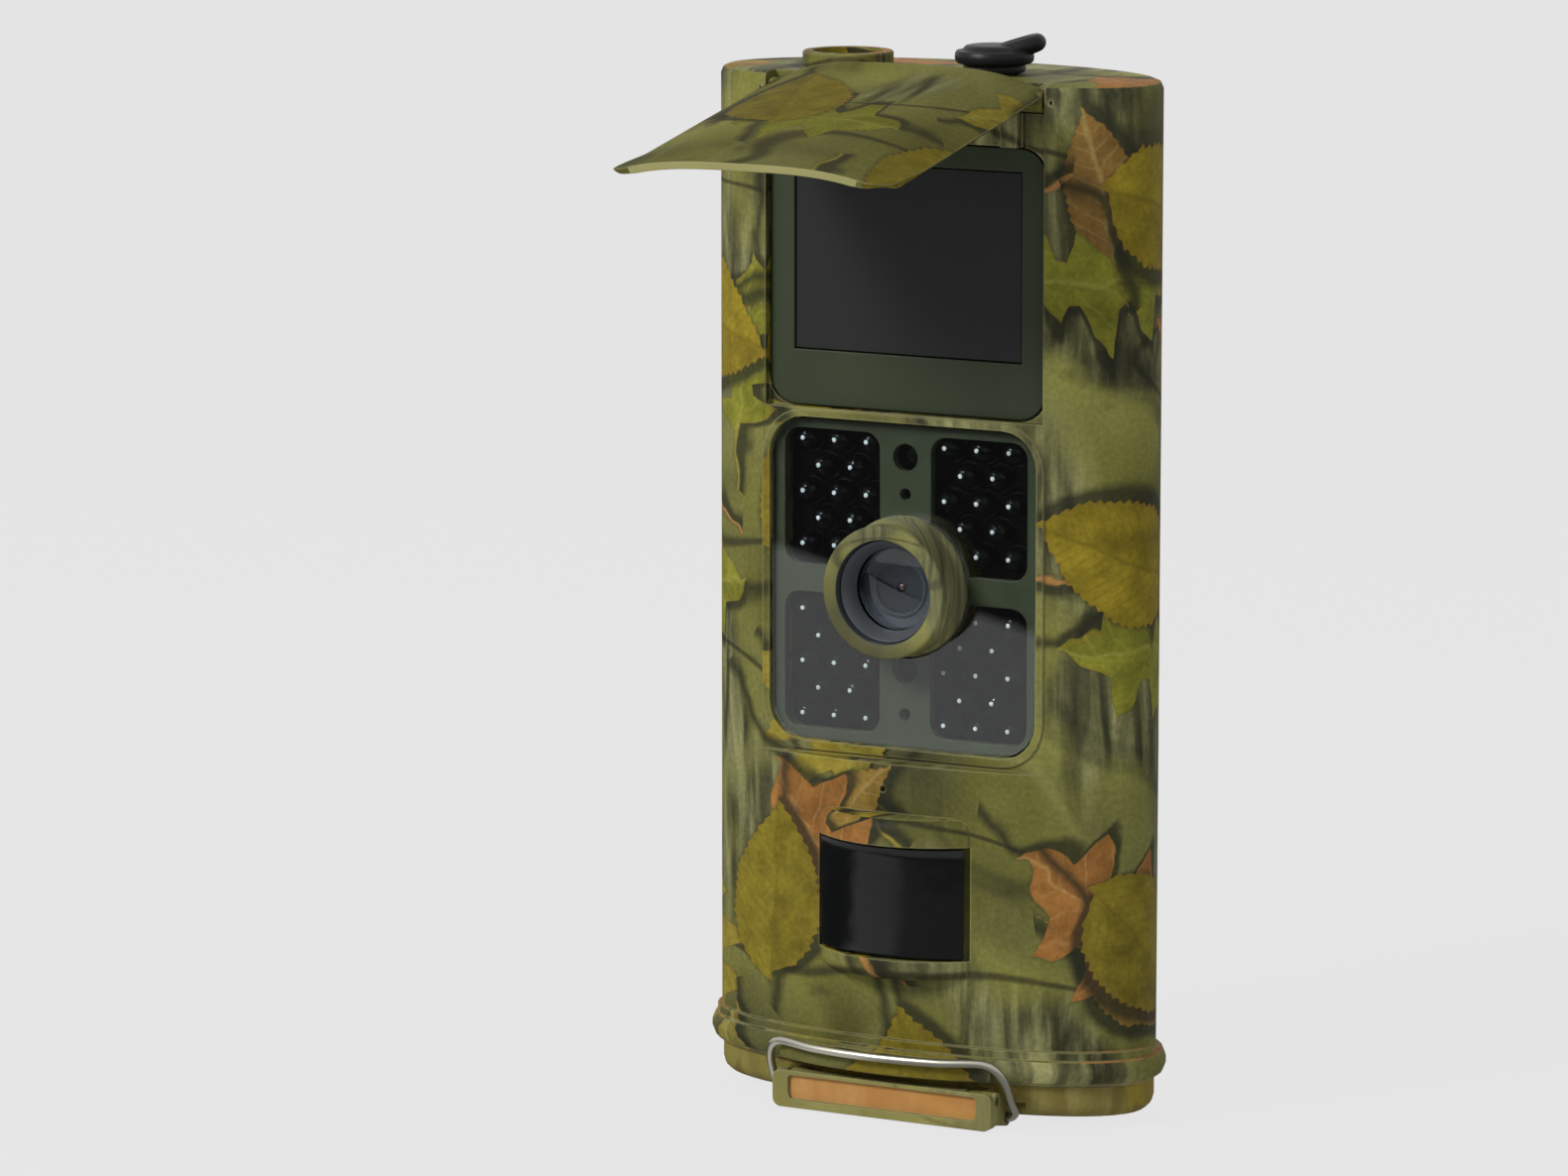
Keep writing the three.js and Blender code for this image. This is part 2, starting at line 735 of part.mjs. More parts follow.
// Front panels
function windowShape(sideX, sideZ) {
  const low = sideZ > 0 ? panelMiddle + windowLow : panelMiddle - windowHigh;
  const high = sideZ > 0 ? panelMiddle + windowHigh : panelMiddle - windowLow;
  const middle = (sideX * (windowInner + windowOuter)) / 2;
  return roundedRectangle((windowOuter - windowInner) / 2, low, high, windowCorner, middle);
}

const panelPlate = () => roundedRectangle(panelHalfWidth, panelMiddle - panelHalfHeight,
  panelMiddle + panelHalfHeight, panelCorner);

function buildLampPanel() {
  let mask = prismY(panelPlate(), maskFront, maskBack);
  for (const sideX of [-1, 1]) {
    for (const sideZ of [-1, 1]) {
      mask = cut(mask, prismY(windowShape(sideX, sideZ), maskFront - overrun, maskBack + overrun));
    }
  }
  mask = cut(mask, rodY(lensClearRadius - fit, 0, panelMiddle, maskFront - overrun, maskBack + overrun,
    36));
  for (const { riseShare, radius } of stripHoleShares) {
    const height = panelMiddle + panelHalfHeight * riseShare;
    mask = cut(mask, rodY(radius, 0, height, maskFront - overrun, maskBack + overrun, 14));
  }
  add('lamp_mask', mask, darkOlive());

  const glass = cut(prismY(panelPlate(), glassFront, glassFront + coverGlass),
    rodY(lensClearRadius, 0, panelMiddle, -overrun, overrun, 36));
  add('lamp_cover', glass, new THREE.MeshStandardMaterial({
    color: '#dfe6e2', roughness: 0.05, transparent: true, opacity: 0.25,
  }));
}

function lamp(x, z) {
  const tip = glassFront + coverGlass + lampTipSetback;
  const shoulder = tip + lampRadius * 0.75;
  return turnedY([[0, tip], [lampRadius * 0.62, tip + lampRadius * 0.2], [lampRadius, shoulder],
    [lampRadius, lampBoardDepth + fit], [0, lampBoardDepth + fit]], x, z, lampSides);
}

function buildLampBoard() {
  const halfWidth = panelHalfWidth;
  let board = prismY(roundedRectangle(halfWidth, panelMiddle - panelHalfHeight,
    panelMiddle + panelHalfHeight,
    windowCorner), lampBoardDepth, lampBoardDepth + boardThickness);
  board = cut(board, rodY(lensRingRadius - fit, 0, panelMiddle, 0, lampBoardDepth * 2 + boardThickness,
    32));
  for (let row = 0; row < lampLines; row++) {
    for (let column = 0; column < lampLines; column++) {
      const nearLens = row === 0 && column === 0;
      if ((row + column) % 2 || nearLens) continue;
      const x = lampFirstColumn + lampColumnPitch * column;
      const rise = lampFirstRow + lampRowPitch * row;
      for (const sideX of [-1, 1]) {
        for (const sideZ of [-1, 1]) board = join(board, lamp(sideX * x, panelMiddle + sideZ * rise));
      }
    }
  }
  for (const { riseShare, radius } of stripHoleShares) {
    const height = panelMiddle + panelHalfHeight * riseShare;
    board = join(board, rodY(radius * 0.8, 0, height, maskBack, lampBoardDepth + fit, 10));
  }
  add('lamp_board', board, blackPlastic());
}

function buildScreen() {
  const frameShape = roundedRectangle(screenFrameHalfWidth, screenFrameBottom, screenFrameTop,
    screenFrameCorner);
  const low = screenBottom;
  const high = screenBottom + screenHeight;
  const opening = box(-screenHalfWidth, screenHalfWidth, 0, screenFrameBack + overrun, low, high);
  add('screen_frame', cut(prismY(frameShape, screenFrameSetback, screenFrameBack), opening), darkOlive());
  add('screen_window', box(-screenHalfWidth + fit, screenHalfWidth - fit,
    screenFrameBack - screenWindowThickness,
    screenFrameBack, low + fit, high - fit), finish('#262a2d', 0.2));
  const display = join(
    box(-screenHalfWidth - displayMargin, screenHalfWidth + displayMargin, screenFrameBack + fit,
      screenFrameBack + fit + displayDepth, low - displayMargin, high + displayMargin),
    box(-screenHalfWidth / 2, screenHalfWidth / 2, screenFrameBack + displayDepth, mainBoardDepth - fit,
      low - displayMargin, low + displayMargin));
  add('display_module', display, blackPlastic());
}

function buildLens() {
  const tail = mainBoardDepth - fit;
  const bodyRadius = lensRingRadius - 2 * fit;
  const boreBack = -lensReach + lensBoreDepth + retainerThickness + fit;
  const barrel = turnedY([
    [lensCellRadius + fit, boreBack], [lensBore, boreBack], [lensBore, -lensReach],
    [lensRingRadius - 2 * fit, -lensReach], [lensRingRadius, -lensReach + 2 * fit],
    [lensRingRadius, -lensFlangeDepth], [lensFlangeRadius, -fit], [lensFlangeRadius,
      glassFront + coverGlass],
    [bodyRadius, glassFront + coverGlass], [bodyRadius, tail], [lensCellRadius + fit, tail],
    [lensCellRadius + fit, boreBack],
  ], 0, panelMiddle, 36);
  add('lens_barrel', barrel, camouflage());
  const retainerFront = -lensReach + lensBoreDepth;
  const retainerBack = retainerFront + retainerThickness;
  add('lens_retainer', turnedY([
    [retainerBore - 2 * fit, retainerBack], [retainerBore, retainerFront], [lensBore - fit, retainerFront],
    [lensBore - fit, retainerBack], [retainerBore - 2 * fit, retainerBack],
  ], 0, panelMiddle, 32), finish('#4a4d50', 0.35));
  const glassSeat = retainerBack + 2 * fit;
  add('lens_front_glass', turnedY([
    [0, glassSeat - fit], [lensCellRadius * 0.5, glassSeat - fit * 0.7], [lensCellRadius, glassSeat],
    [lensCellRadius, glassSeat + glassThickness], [0, glassSeat + glassThickness],
  ], 0, panelMiddle, 28), finish('#22262a', 0.05));
  const cellFront = glassSeat + glassThickness + fit;
  add('lens_cell', turnedY([
    [0, cellFront + iris], [iris, cellFront + iris], [lensCellRadius * 0.7, cellFront], [lensCellRadius,
      cellFront],
    [lensCellRadius, tail], [0, tail],
  ], 0, panelMiddle, 24), blackPlastic());
}

function buildSensor() {
  const thickness = windowPaneThickness;
  const outer = bowedBar(windowPaneHalfWidth, windowPaneSide, windowPaneFront, -windowPaneSide + thickness);
  const inner = prismZ(bowedBar(windowPaneHalfWidth - thickness, windowPaneSide - thickness,
    windowPaneFront - thickness, overrun), 0, bodyHeight);
  const pane = cut(prismZ(outer, windowPaneBottom + fit, windowPaneTop - fit, { curveSegments: 6 }), inner);
  add('sensor_window', pane, finish('#0e0f11', 0.12));
  const middle = (windowPaneBottom + windowPaneTop) / 2;
  const boardFront = sensorBoardFront();
  add('sensor_can', turnedY([
    [0, -windowPaneSide + thickness + fit], [sensorCanRadius - fit, -windowPaneSide + thickness + fit],
    [sensorCanRadius, -windowPaneSide + thickness + 2 * fit], [sensorCanRadius, boardFront - 3 * fit],
    [sensorCanRadius + 2 * fit, boardFront - 3 * fit], [sensorCanRadius + 2 * fit, boardFront - fit],
    [0, boardFront - fit],
  ], 0, middle, 20), steel());
  add('sensor_board', box(-sensorBoardHalfWidth, sensorBoardHalfWidth, boardFront,
    boardFront + boardThickness,
    middle - sensorBoardHalfHeight, middle + sensorBoardHalfHeight), boardGreen());
  const inside = -frontBulge + wall + fit;
  add('microphone', rodY(microphoneRadius, microphoneAside, microphoneHeight, inside,
    inside + microphoneDepth, 14),
    blackPlastic());
}

// Visor lid, drawn level: forwards is -Y, and its hinge line is the local X axis
function buildLid() {
  const group = new THREE.Group();
  group.position.set(0, lidPivotDepth, lidPivotHeight);
  group.rotation.x = lidDroopDegrees * degree;
  camera.add(group);

  const steps = 14;
  const height = (x, half, rise) => lidBase + rise * (1 - Math.abs(x / half) ** lidSquareness);
  const innerHalf = lidHalfWidth - lidThickness;
  const section = [];
  for (let i = 0; i <= steps; i++) {
    const x = -lidHalfWidth * Math.cos((Math.PI * i) / steps);
    section.push([x, lidLip + height(x, lidHalfWidth, lidArch)]);
  }
  section.push([lidHalfWidth, lidBase]);
  for (let i = 0; i <= steps; i++) {
    const x = innerHalf * Math.cos((Math.PI * i) / steps);
    section.push([x, height(x, innerHalf, lidArch + lidLip - lidThickness)]);
  }
  section.push([-lidHalfWidth, lidBase]);
  const arch = prismY(polygon(section), -lidLength, lidTail);

  const plan = roundedRectangle(lidHalfWidth + fit, -lidLength, lidLength, lidCorner);
  const rounded = prismZ(plan, -lidArch * 2, lidArch * 3);
  const tipRelief = box(-lidHalfWidth * 2, lidHalfWidth * 2, -lidLength * 2, -lidLength + lidTipLength,
    -lidArch, lidTipClearance);
  const root = prismX(polygon([
    [-lidBarrel, 0], [-lidBarrel, lidBase + lidArch], [lidTail, lidBase + lidArch], [lidTail, 0],
  ]), -lidHalfWidth + lidThickness / 2, lidHalfWidth - lidThickness / 2);
  const barrel = rodX(lidBarrel, 0, 0, -lidHalfWidth, lidHalfWidth, 16);
  const archedBlock = prismY(archedOutline(steps, height), -lidLength, lidTail);
  let lid = join(common(arch, rounded), common(root, archedBlock), barrel);
  lid = cut(lid, tipRelief, rodX(lidPin + lidPinPlay, 0, 0, -lidHalfWidth - overrun,
    lidHalfWidth + overrun, 12));
  for (const side of [-1, 1]) {
    const [left, right] = side < 0 ? [-postOuter, -postInner] : [postInner, postOuter];
    lid = cut(lid, rodX(postRadius + postGap, 0, 0, left - postGap, right + postGap, 16));
    lid = cut(lid, box(left - postGap, right + postGap, -lidBarrel * 2, 0, -overrun * 2,
      postRadius + postGap));
    lid = cut(lid, box(left - postGap, right + postGap, 0, lidTail + overrun, -overrun * 2, 0));
  }
  add('visor_lid', lid, camouflage(), group);
  add('visor_pin', rodX(lidPin, 0, 0, -lidHalfWidth, lidHalfWidth, 10), steel(), group);
}

function archedOutline(steps, height) {
  const points = [[-lidHalfWidth, -lidBarrel * 2], [lidHalfWidth, -lidBarrel * 2]];
  for (let i = 0; i <= steps; i++) {
    const x = lidHalfWidth * Math.cos((Math.PI * i) / steps);
    points.push([x, lidLip - fit + height(x, lidHalfWidth, lidArch)]);
  }
  return polygon(points);
}

// Top fittings
function buildTop() {
  const underside = bodyHeight - wall - fit;
  add('antenna_connector', turnedZ([
    [0, underside - connectorTail], [connectorRadius, underside - connectorTail], [connectorRadius,
      underside - wall],
    [connectorFlange, underside - wall], [connectorFlange, underside], [connectorRadius, underside],
    [connectorRadius, bodyHeight + connectorRise], [connectorBore, bodyHeight + connectorRise],
    [connectorBore, underside], [0, underside],
  ], collarAside, topFittingDepth, 16), finish('#c9a24a', 0.3, 1));

  const jack = cut(box(plugAside - jackHalfWidth, plugAside + jackHalfWidth,
    topFittingDepth - jackHalfWidth,
    topFittingDepth + jackHalfWidth, underside - jackDepth, underside),
  rodZ(jackBore - fit, plugAside, topFittingDepth, underside - jackDepth + wall, underside + overrun, 18));
  add('power_jack', join(jack, rodZ(fit * 3, plugAside, topFittingDepth, underside - jackDepth + fit,
    bodyHeight - plugStemLength - fit, 8)), blackPlastic());

  const stemEnd = bodyHeight - plugStemLength;
  const seat = bodyHeight + fit;
  const plug = turnedZ([
    [0, stemEnd], [plugStem - fit, stemEnd], [plugStem - fit, seat], [plugNeck, seat],
    [plugNeck, bodyHeight + plugNeckRise], [plugDisc, bodyHeight + plugNeckRise + fit],
    [plugDisc, bodyHeight + plugDiscRise - fit], [plugCrown, bodyHeight + plugDiscRise + fit],
    [plugCrown - 2 * fit, bodyHeight + plugCrownRise], [0, bodyHeight + plugCrownRise],
  ], 0, 0, 24);
  const tab = new THREE.CapsuleGeometry(tabHalfWidth, tabLength - 2 * tabHalfWidth, 3, 14)
    .scale(1, 1, tabThickness / (2 * tabHalfWidth))
    .rotateZ(Math.PI / 2)
    .rotateY(-tabTiltDegrees * degree)
    .translate(tabReach, 0, bodyHeight + plugCrownRise)
    .rotateZ(tabTurnDegrees * degree);
  const mesh = add('rubber_plug', join(plug, solid(tab)), rubber());
  mesh.position.set(plugAside, topFittingDepth, 0);
}

// Base cover with its foot, hinge knuckles and the ears that carry the lever
function buildBase() {
  const group = new THREE.Group();
  camera.add(group);
  const rounded = {
    bevelEnabled: true, bevelThickness: coverRound, bevelSize: coverRound, bevelOffset: -coverRound,
      bevelSegments: 3,
  };
  const bottom = footHeight;
  const top = footHeight + coverHeight;
  const shellBlock = common(
    prismZ(outline(-coverInset), bottom + coverRound, top + overrun, rounded),
    box(-bodyHalfWidth * 2, bodyHalfWidth * 2, -bodyHalfWidth * 2, bodyHalfWidth * 2, 0, top));
  const hollow = prismZ(outline(-coverInset - wall), bottom + coverFloor, top + overrun);
  const foot = prismZ(roundedRectangle(footHalfWidth, footDepth - footHalfDepth,
    footDepth + footHalfDepth, footRound),
    0, bottom + coverFloor / 2);
  const { pocket, backing } = latchPocket();
  let cover = join(cut(shellBlock, hollow), foot, coverSealRidge(), common(shellBlock, backing));
  cover = cut(cover, pocket);
  for (const side of [-1, 1]) {
    const [kLeft, kRight] = side < 0 ? [-knuckleCover, -knuckleMiddle - fit] : [knuckleMiddle + fit,
      knuckleCover];
    cover = join(cover, coverKnuckle(kLeft, kRight));
    const [left, right] = side < 0 ? [-earOuter, -earInner] : [earInner, earOuter];
    cover = join(cover, leverEar(left, right));
  }
  add('base_cover', cover, camouflage(), group);

  const seal = prismZ(sealRing(), bottom + coverFloor + fit + sealRidgeHeight(), seamLevel + sealRise);
  add('base_seal', seal, rubber(), group);
  add('base_hinge_pin', rodX(hingePin, coverHingeDepth, coverHingeHeight, -knuckleOuter, knuckleOuter,
    10), steel());
}

// Room for the lever's cheeks and the wire's feet under the front edge, with the cover's wall behind it
function latchPocket() {
  const halfWidth = bailFoot + wireRadius + 2 * fit;
  const back = bailPivotDepth + leverCheekDepth + 2 * fit;
  const top = bailPivotHeight + leverCheekDepth + 4 * fit;
  return {
    pocket: box(-halfWidth, halfWidth, -bodyHalfWidth, back, 0, top),
    backing: box(-halfWidth - coverFloor, halfWidth + coverFloor, -bodyHalfWidth, back + coverFloor, 0,
      top + coverFloor),
  };
}

const sealRidgeHeight = () => coverHeight - coverFloor - 3 * fit;

function coverSealRidge() {
  return prismZ(sealRing(), footHeight + coverFloor / 2, footHeight + coverFloor + sealRidgeHeight());
}

function coverKnuckle(left, right) {
  const web = prismX(polygon([
    [coverHingeDepth - hingeBarrel - hingeStandoff, footHeight + coverRound / 2],
    [coverHingeDepth, coverHingeHeight - hingeBarrel],
    [coverHingeDepth, coverHingeHeight],
    [coverHingeDepth - hingeBarrel - hingeStandoff, footHeight + coverHeight - fit],
  ]), left, right);
  const barrel = rodX(hingeBarrel, coverHingeDepth, coverHingeHeight, left, right, 16);
  const bore = rodX(hingePin + hingePinPlay, coverHingeDepth, coverHingeHeight, left - overrun,
    right + overrun, 12);
  return cut(join(web, barrel), bore);
}

function leverEar(left, right) {
  const inside = -frontBulge + coverInset + wall;
  const web = prismX(polygon([
    [leverPivotDepth, leverPivotHeight - earRadius], [inside, footHeight + coverRound / 3],
    [inside, leverPivotHeight + earRadius], [leverPivotDepth, leverPivotHeight + earRadius],
  ]), left, right);
  const barrel = rodX(earRadius, leverPivotDepth, leverPivotHeight, left, right, 14);
  const bore = rodX(leverPin + leverPinPlay, leverPivotDepth, leverPivotHeight, left - overrun,
    right + overrun, 10);
  return cut(join(web, barrel), bore);
}

// Lever, drawn about its pivot, and the wire bail that hooks into its cheeks
function buildLatch() {
  const group = new THREE.Group();
  group.position.set(0, leverPivotDepth, leverPivotHeight);
  camera.add(group);
  const front = -leverFront - leverPivotDepth;
  const back = front + leverThickness;
  const low = leverBottom - leverPivotHeight;
  const high = leverTop - leverPivotHeight;
  const hookDepth = bailPivotDepth - leverPivotDepth;
  const hookHeight = bailPivotHeight - leverPivotHeight;

  const plate = prismY(roundedRectangle(leverHalfWidth, low, high, leverRim), front, back);
  const recess = prismY(roundedRectangle(leverHalfWidth - leverRim - leverCheek, low + 2 * leverRim,
    high - leverRim / 2, leverRim / 2), front - overrun, front + leverRecess);
  const lip = prismX(polygon([
    [back - fit, low], [back + leverRim, low + leverRim / 2], [back - fit, low + leverRim],
  ]), -leverHalfWidth + leverRim, leverHalfWidth - leverRim);
  let lever = join(cut(plate, recess), lip);
  for (const side of [-1, 1]) {
    const [left, right] = side < 0 ? [-leverHalfWidth, -leverHalfWidth + leverCheek]
      : [leverHalfWidth - leverCheek, leverHalfWidth];
    const pivotCheek = rodX(leverCheekDepth, 0, 0, left, right, 14);
    const hookCheek = rodX(leverCheekDepth, hookDepth, hookHeight, left, right, 14);
    const between = prismX(polygon([
      [back - fit, low + leverRim / 2], [hookDepth, hookHeight - leverCheekDepth],
      [hookDepth + leverCheekDepth * 0.7, hookHeight + leverCheekDepth * 0.7], [leverCheekDepth * 0.7,
        leverCheekDepth * 0.7],
      [back - fit, leverCheekDepth],
    ]), left, right);
    lever = join(lever, pivotCheek, hookCheek, between);
  }
  lever = cut(lever,
    rodX(leverPin + leverPinPlay, 0, 0, -leverHalfWidth - overrun, leverHalfWidth + overrun, 10),
    rodX(wireRadius + wirePlay, hookDepth, hookHeight, -leverHalfWidth - overrun,
      leverHalfWidth + overrun, 12),
    box(-earOuter - fit, -earInner + fit, -earRadius - fit, overrun, -earRadius - fit, overrun),
    box(earInner - fit, earOuter + fit, -earRadius - fit, overrun, -earRadius - fit, overrun));
  add('latch_lever', lever, camouflage(), group);
  add('lever_pin', rodX(leverPin, 0, 0, -leverHalfWidth + fit, leverHalfWidth - fit, 8), steel(), group);

  const bail = new THREE.Group();
  bail.position.set(0, hookDepth, hookHeight);
  group.add(bail);
  add('latch_bail', bailGeometry(), steel(), bail);
}

function bailGeometry() {
  const topFront = -bailFront - bailPivotDepth;
  const cornerFront = topFront + bailCornerBack;
  const rise = bailTop - bailPivotHeight;
  const half = [
    [bailHook, 0, 0], [bailFoot - wireRadius * 1.6, 0, 0], [bailFoot, cornerFront * 0.1, rise * 0.1],
    [bailFoot, cornerFront * 0.35, rise * 0.3], [bailFoot - wireRadius * 0.4, cornerFront * 0.7,
      rise * 0.68],
    [bailCorner, cornerFront * 0.94, rise * 0.92], [bailCorner - wireRadius * 2.2,
      cornerFront - wireRadius * 0.3, rise],
    [bailCorner * 0.55, topFront + bailCornerBack * 0.3, rise],
  ];
  const points = [
    ...half.map(([x, y, z]) => new THREE.Vector3(-x, y, z)),
    new THREE.Vector3(0, topFront, rise),
    ...half.reverse().map(([x, y, z]) => new THREE.Vector3(x, y, z)),
  ];
  const path = new THREE.CatmullRomCurve3(points, false, 'centripetal');
  const section = new THREE.Shape();
  section.absarc(0, 0, wireRadius, 0, 2 * Math.PI);
  const tube = new THREE.ExtrudeGeometry(section, {
    steps: wireSteps, extrudePath: path, curveSegments: wireSides, bevelEnabled: false,
  });
  return geometryOf(solid(tube));
}

// Batteries: a sleeve fixed in the housing, a tray that slides down out of it, and eight cells
function trayOutline(grow) {
  const halfWidth = cellRadius * cellsAcross + trayWall + fit + grow;
  const halfDepth = cellRadius + trayWall + fit + grow;
  return roundedRectangle(halfWidth, cellDepth - halfDepth, cellDepth + halfDepth, halfDepth - fit);
}

function buildBatteries() {
  const sleeveTop = trayTop + fit + contactThickness + fit;
  const sleeve = cut(prismZ(trayOutline(fit + sleeveWall), sleeveBottom, sleeveTop),
    prismZ(trayOutline(fit), sleeveBottom - overrun, sleeveTop + overrun));
  add('battery_sleeve', sleeve, blackPlastic());
  add('contact_board', prismZ(trayOutline(0), trayTop + fit, trayTop + fit + contactThickness),
    boardGreen());

  let tray = prismZ(trayOutline(0), trayBottom, trayTop);
  const cells = [];
  for (let layer = 0; layer < 2; layer++) {
    const low = trayBottom + trayEnd + fit + layer * (cellLength + 2 * fit + trayEnd / 2);
    for (let i = 0; i < cellsAcross; i++) {
      const x = (i - (cellsAcross - 1) / 2) * cellRadius * 2;
      cells.push([x, low]);
      tray = cut(tray, rodZ(cellRadius + fit / 2, x, cellDepth, low - fit, low + cellLength + fit,
        cellSides * 2));
    }
  }
  const front = cellDepth - cellRadius - trayWall - overrun;
  tray = cut(tray, box(-bodyHalfWidth, bodyHalfWidth, front, front + overrun + trayOpenDepth,
    trayBottom + trayEnd, trayTop - trayEnd));
  add('battery_tray', tray, finish('#2a2d30', 0.5));

  cells.forEach(([x, low], i) => {
    const up = i % 2 === 0;
    const profile = up
      ? [[0, 0], [cellRadius - fit, 0], [cellRadius - fit, cellLength - cellNubHeight],
        [cellNub, cellLength - cellNubHeight], [cellNub, cellLength], [0, cellLength]]
      : [[0, 0], [cellNub, 0], [cellNub, cellNubHeight], [cellRadius - fit, cellNubHeight],
        [cellRadius - fit, cellLength], [0, cellLength]];
    const mesh = add('cell_' + (i + 1), turnedZ(profile, 0, 0, cellSides), finish('#3a3f46', 0.35, 0.6));
    mesh.position.set(x, cellDepth, low);
  });
}

// Boards and controls behind the base cover
function buildControls() {
  add('main_board', box(-boardHalfWidth, boardHalfWidth, mainBoardDepth, mainBoardDepth + boardThickness,
    boardBottom, boardTop), boardGreen());

  const plateTop = panelPlateBottom + panelPlateThickness;
  const plateBack = mainBoardDepth - fit + boardThickness;
  let plate = common(
    box(-panelPlateHalfWidth, panelPlateHalfWidth, panelPlateFront, plateBack, panelPlateBottom, plateTop),
    prismZ(outline(-wall - fit), 0, bodyHeight));
  keyNames.forEach((name, i) => {
    plate = cut(plate, rodZ(keyRadius + fit, keyFirst + keyPitch * i, keyRowDepth, 0, bodyHeight, 14));
  });
  plate = cut(plate,
    box(switchAside - switchHalfLength - switchTravel - fit,
      switchAside + switchHalfLength + switchTravel + fit,
      keyRowDepth - switchHalfDepth - fit, keyRowDepth + switchHalfDepth + fit, 0, bodyHeight),
    box(cardAside - cardHalfWidth - fit, cardAside + cardHalfWidth + fit,
      socketRowDepth - cardThickness / 2 - fit,
      socketRowDepth + cardThickness / 2 + fit, 0, bodyHeight),
    box(usbAside - usbHalfWidth, usbAside + usbHalfWidth, socketRowDepth - usbHalfDepth,
      socketRowDepth + usbHalfDepth,
      0, bodyHeight),
    rodZ(avRadius, avAside, socketRowDepth, 0, bodyHeight, 12));
  add('control_panel', plate, darkOlive());

  keyNames.forEach((name, i) => {
    const key = add('key_' + name, turnedZ([
      [0, -keyDrop], [keyRadius - fit, -keyDrop], [keyRadius, -keyDrop + fit],
      [keyRadius, panelPlateThickness + fit], [keyFlange, panelPlateThickness + fit],
      [keyFlange, panelPlateThickness + fit + keyFlangeHeight], [0,
        panelPlateThickness + fit + keyFlangeHeight],
    ], 0, 0, 14), finish('#3c3f42', 0.6));
    key.position.set(keyFirst + keyPitch * i, keyRowDepth, panelPlateBottom);
  });

  const boardLow = plateTop + fit + keyFlangeHeight + keyTravel + fit;
  const boardHigh = boardLow + boardThickness;
  const keyBoardHalf = panelPlateHalfWidth - postBossRadius - fit;
  const keyBoardBack = socketRowDepth - cardThickness / 2 - 2 * fit - socketWall;
  add('key_board', box(-keyBoardHalf, keyBoardHalf, keyRowDepth - keyRadius, keyBoardBack, boardLow,
    boardHigh),
    boardGreen());

  const knob = join(
    box(-switchHalfLength, switchHalfLength, -switchHalfDepth, switchHalfDepth, -keyDrop,
      panelPlateThickness + fit * 2),
    box(-switchHalfLength - fit, switchHalfLength + fit, -switchHalfDepth - 2 * fit,
      switchHalfDepth + 2 * fit,
      panelPlateThickness + fit, panelPlateThickness + fit + keyFlangeHeight));
  const knobMesh = add('mode_switch', knob, finish('#50545a', 0.5));
  knobMesh.position.set(switchAside, keyRowDepth, panelPlateBottom);

  const cardShape = polygon([
    [cardAside - cardHalfWidth, 0], [cardAside + cardHalfWidth, 0], [cardAside + cardHalfWidth, cardHeight],
    [cardAside - cardHalfWidth + cardChamfer, cardHeight], [cardAside - cardHalfWidth,
      cardHeight - cardChamfer],
  ]);
  const card = add('memory_card', prismY(cardShape, -cardThickness / 2, cardThickness / 2),
    finish('#1d2530', 0.5));
  card.position.set(0, socketRowDepth, panelPlateBottom - cardDrop);

  const socketLow = plateTop + fit;
  const socketFront = socketRowDepth - cardThickness / 2 - fit - socketWall;
  const socketBack = mainBoardDepth - fit;
  const socket = cut(
    box(cardAside - cardHalfWidth - fit - socketWall, cardAside + cardHalfWidth + fit + socketWall,
      socketFront, socketBack, socketLow, socketLow + socketHeight),
    box(cardAside - cardHalfWidth - fit, cardAside + cardHalfWidth + fit, socketFront + socketWall,
      socketRowDepth + cardThickness / 2 + fit / 2, 0, bodyHeight));
  add('card_socket', socket, steel());

  const usb = cut(
    box(usbAside - usbHalfWidth, usbAside + usbHalfWidth, socketRowDepth - usbHalfDepth, socketBack,
      socketLow, socketLow + portHeight),
    box(usbAside - usbHalfWidth + portInset, usbAside + usbHalfWidth - portInset,
      socketRowDepth - usbHalfDepth + portInset, socketRowDepth + usbHalfDepth - portInset,
      0, socketLow + portHeight - portInset));
  add('usb_port', usb, steel());
  const av = cut(
    box(avAside - avRadius * 2, avAside + avRadius * 2, socketRowDepth - usbHalfDepth, socketBack,
      socketLow, socketLow + portHeight),
    rodZ(avBore, avAside, socketRowDepth, 0, socketLow + portHeight - portInset, 12));
  add('av_jack', av, blackPlastic());
}

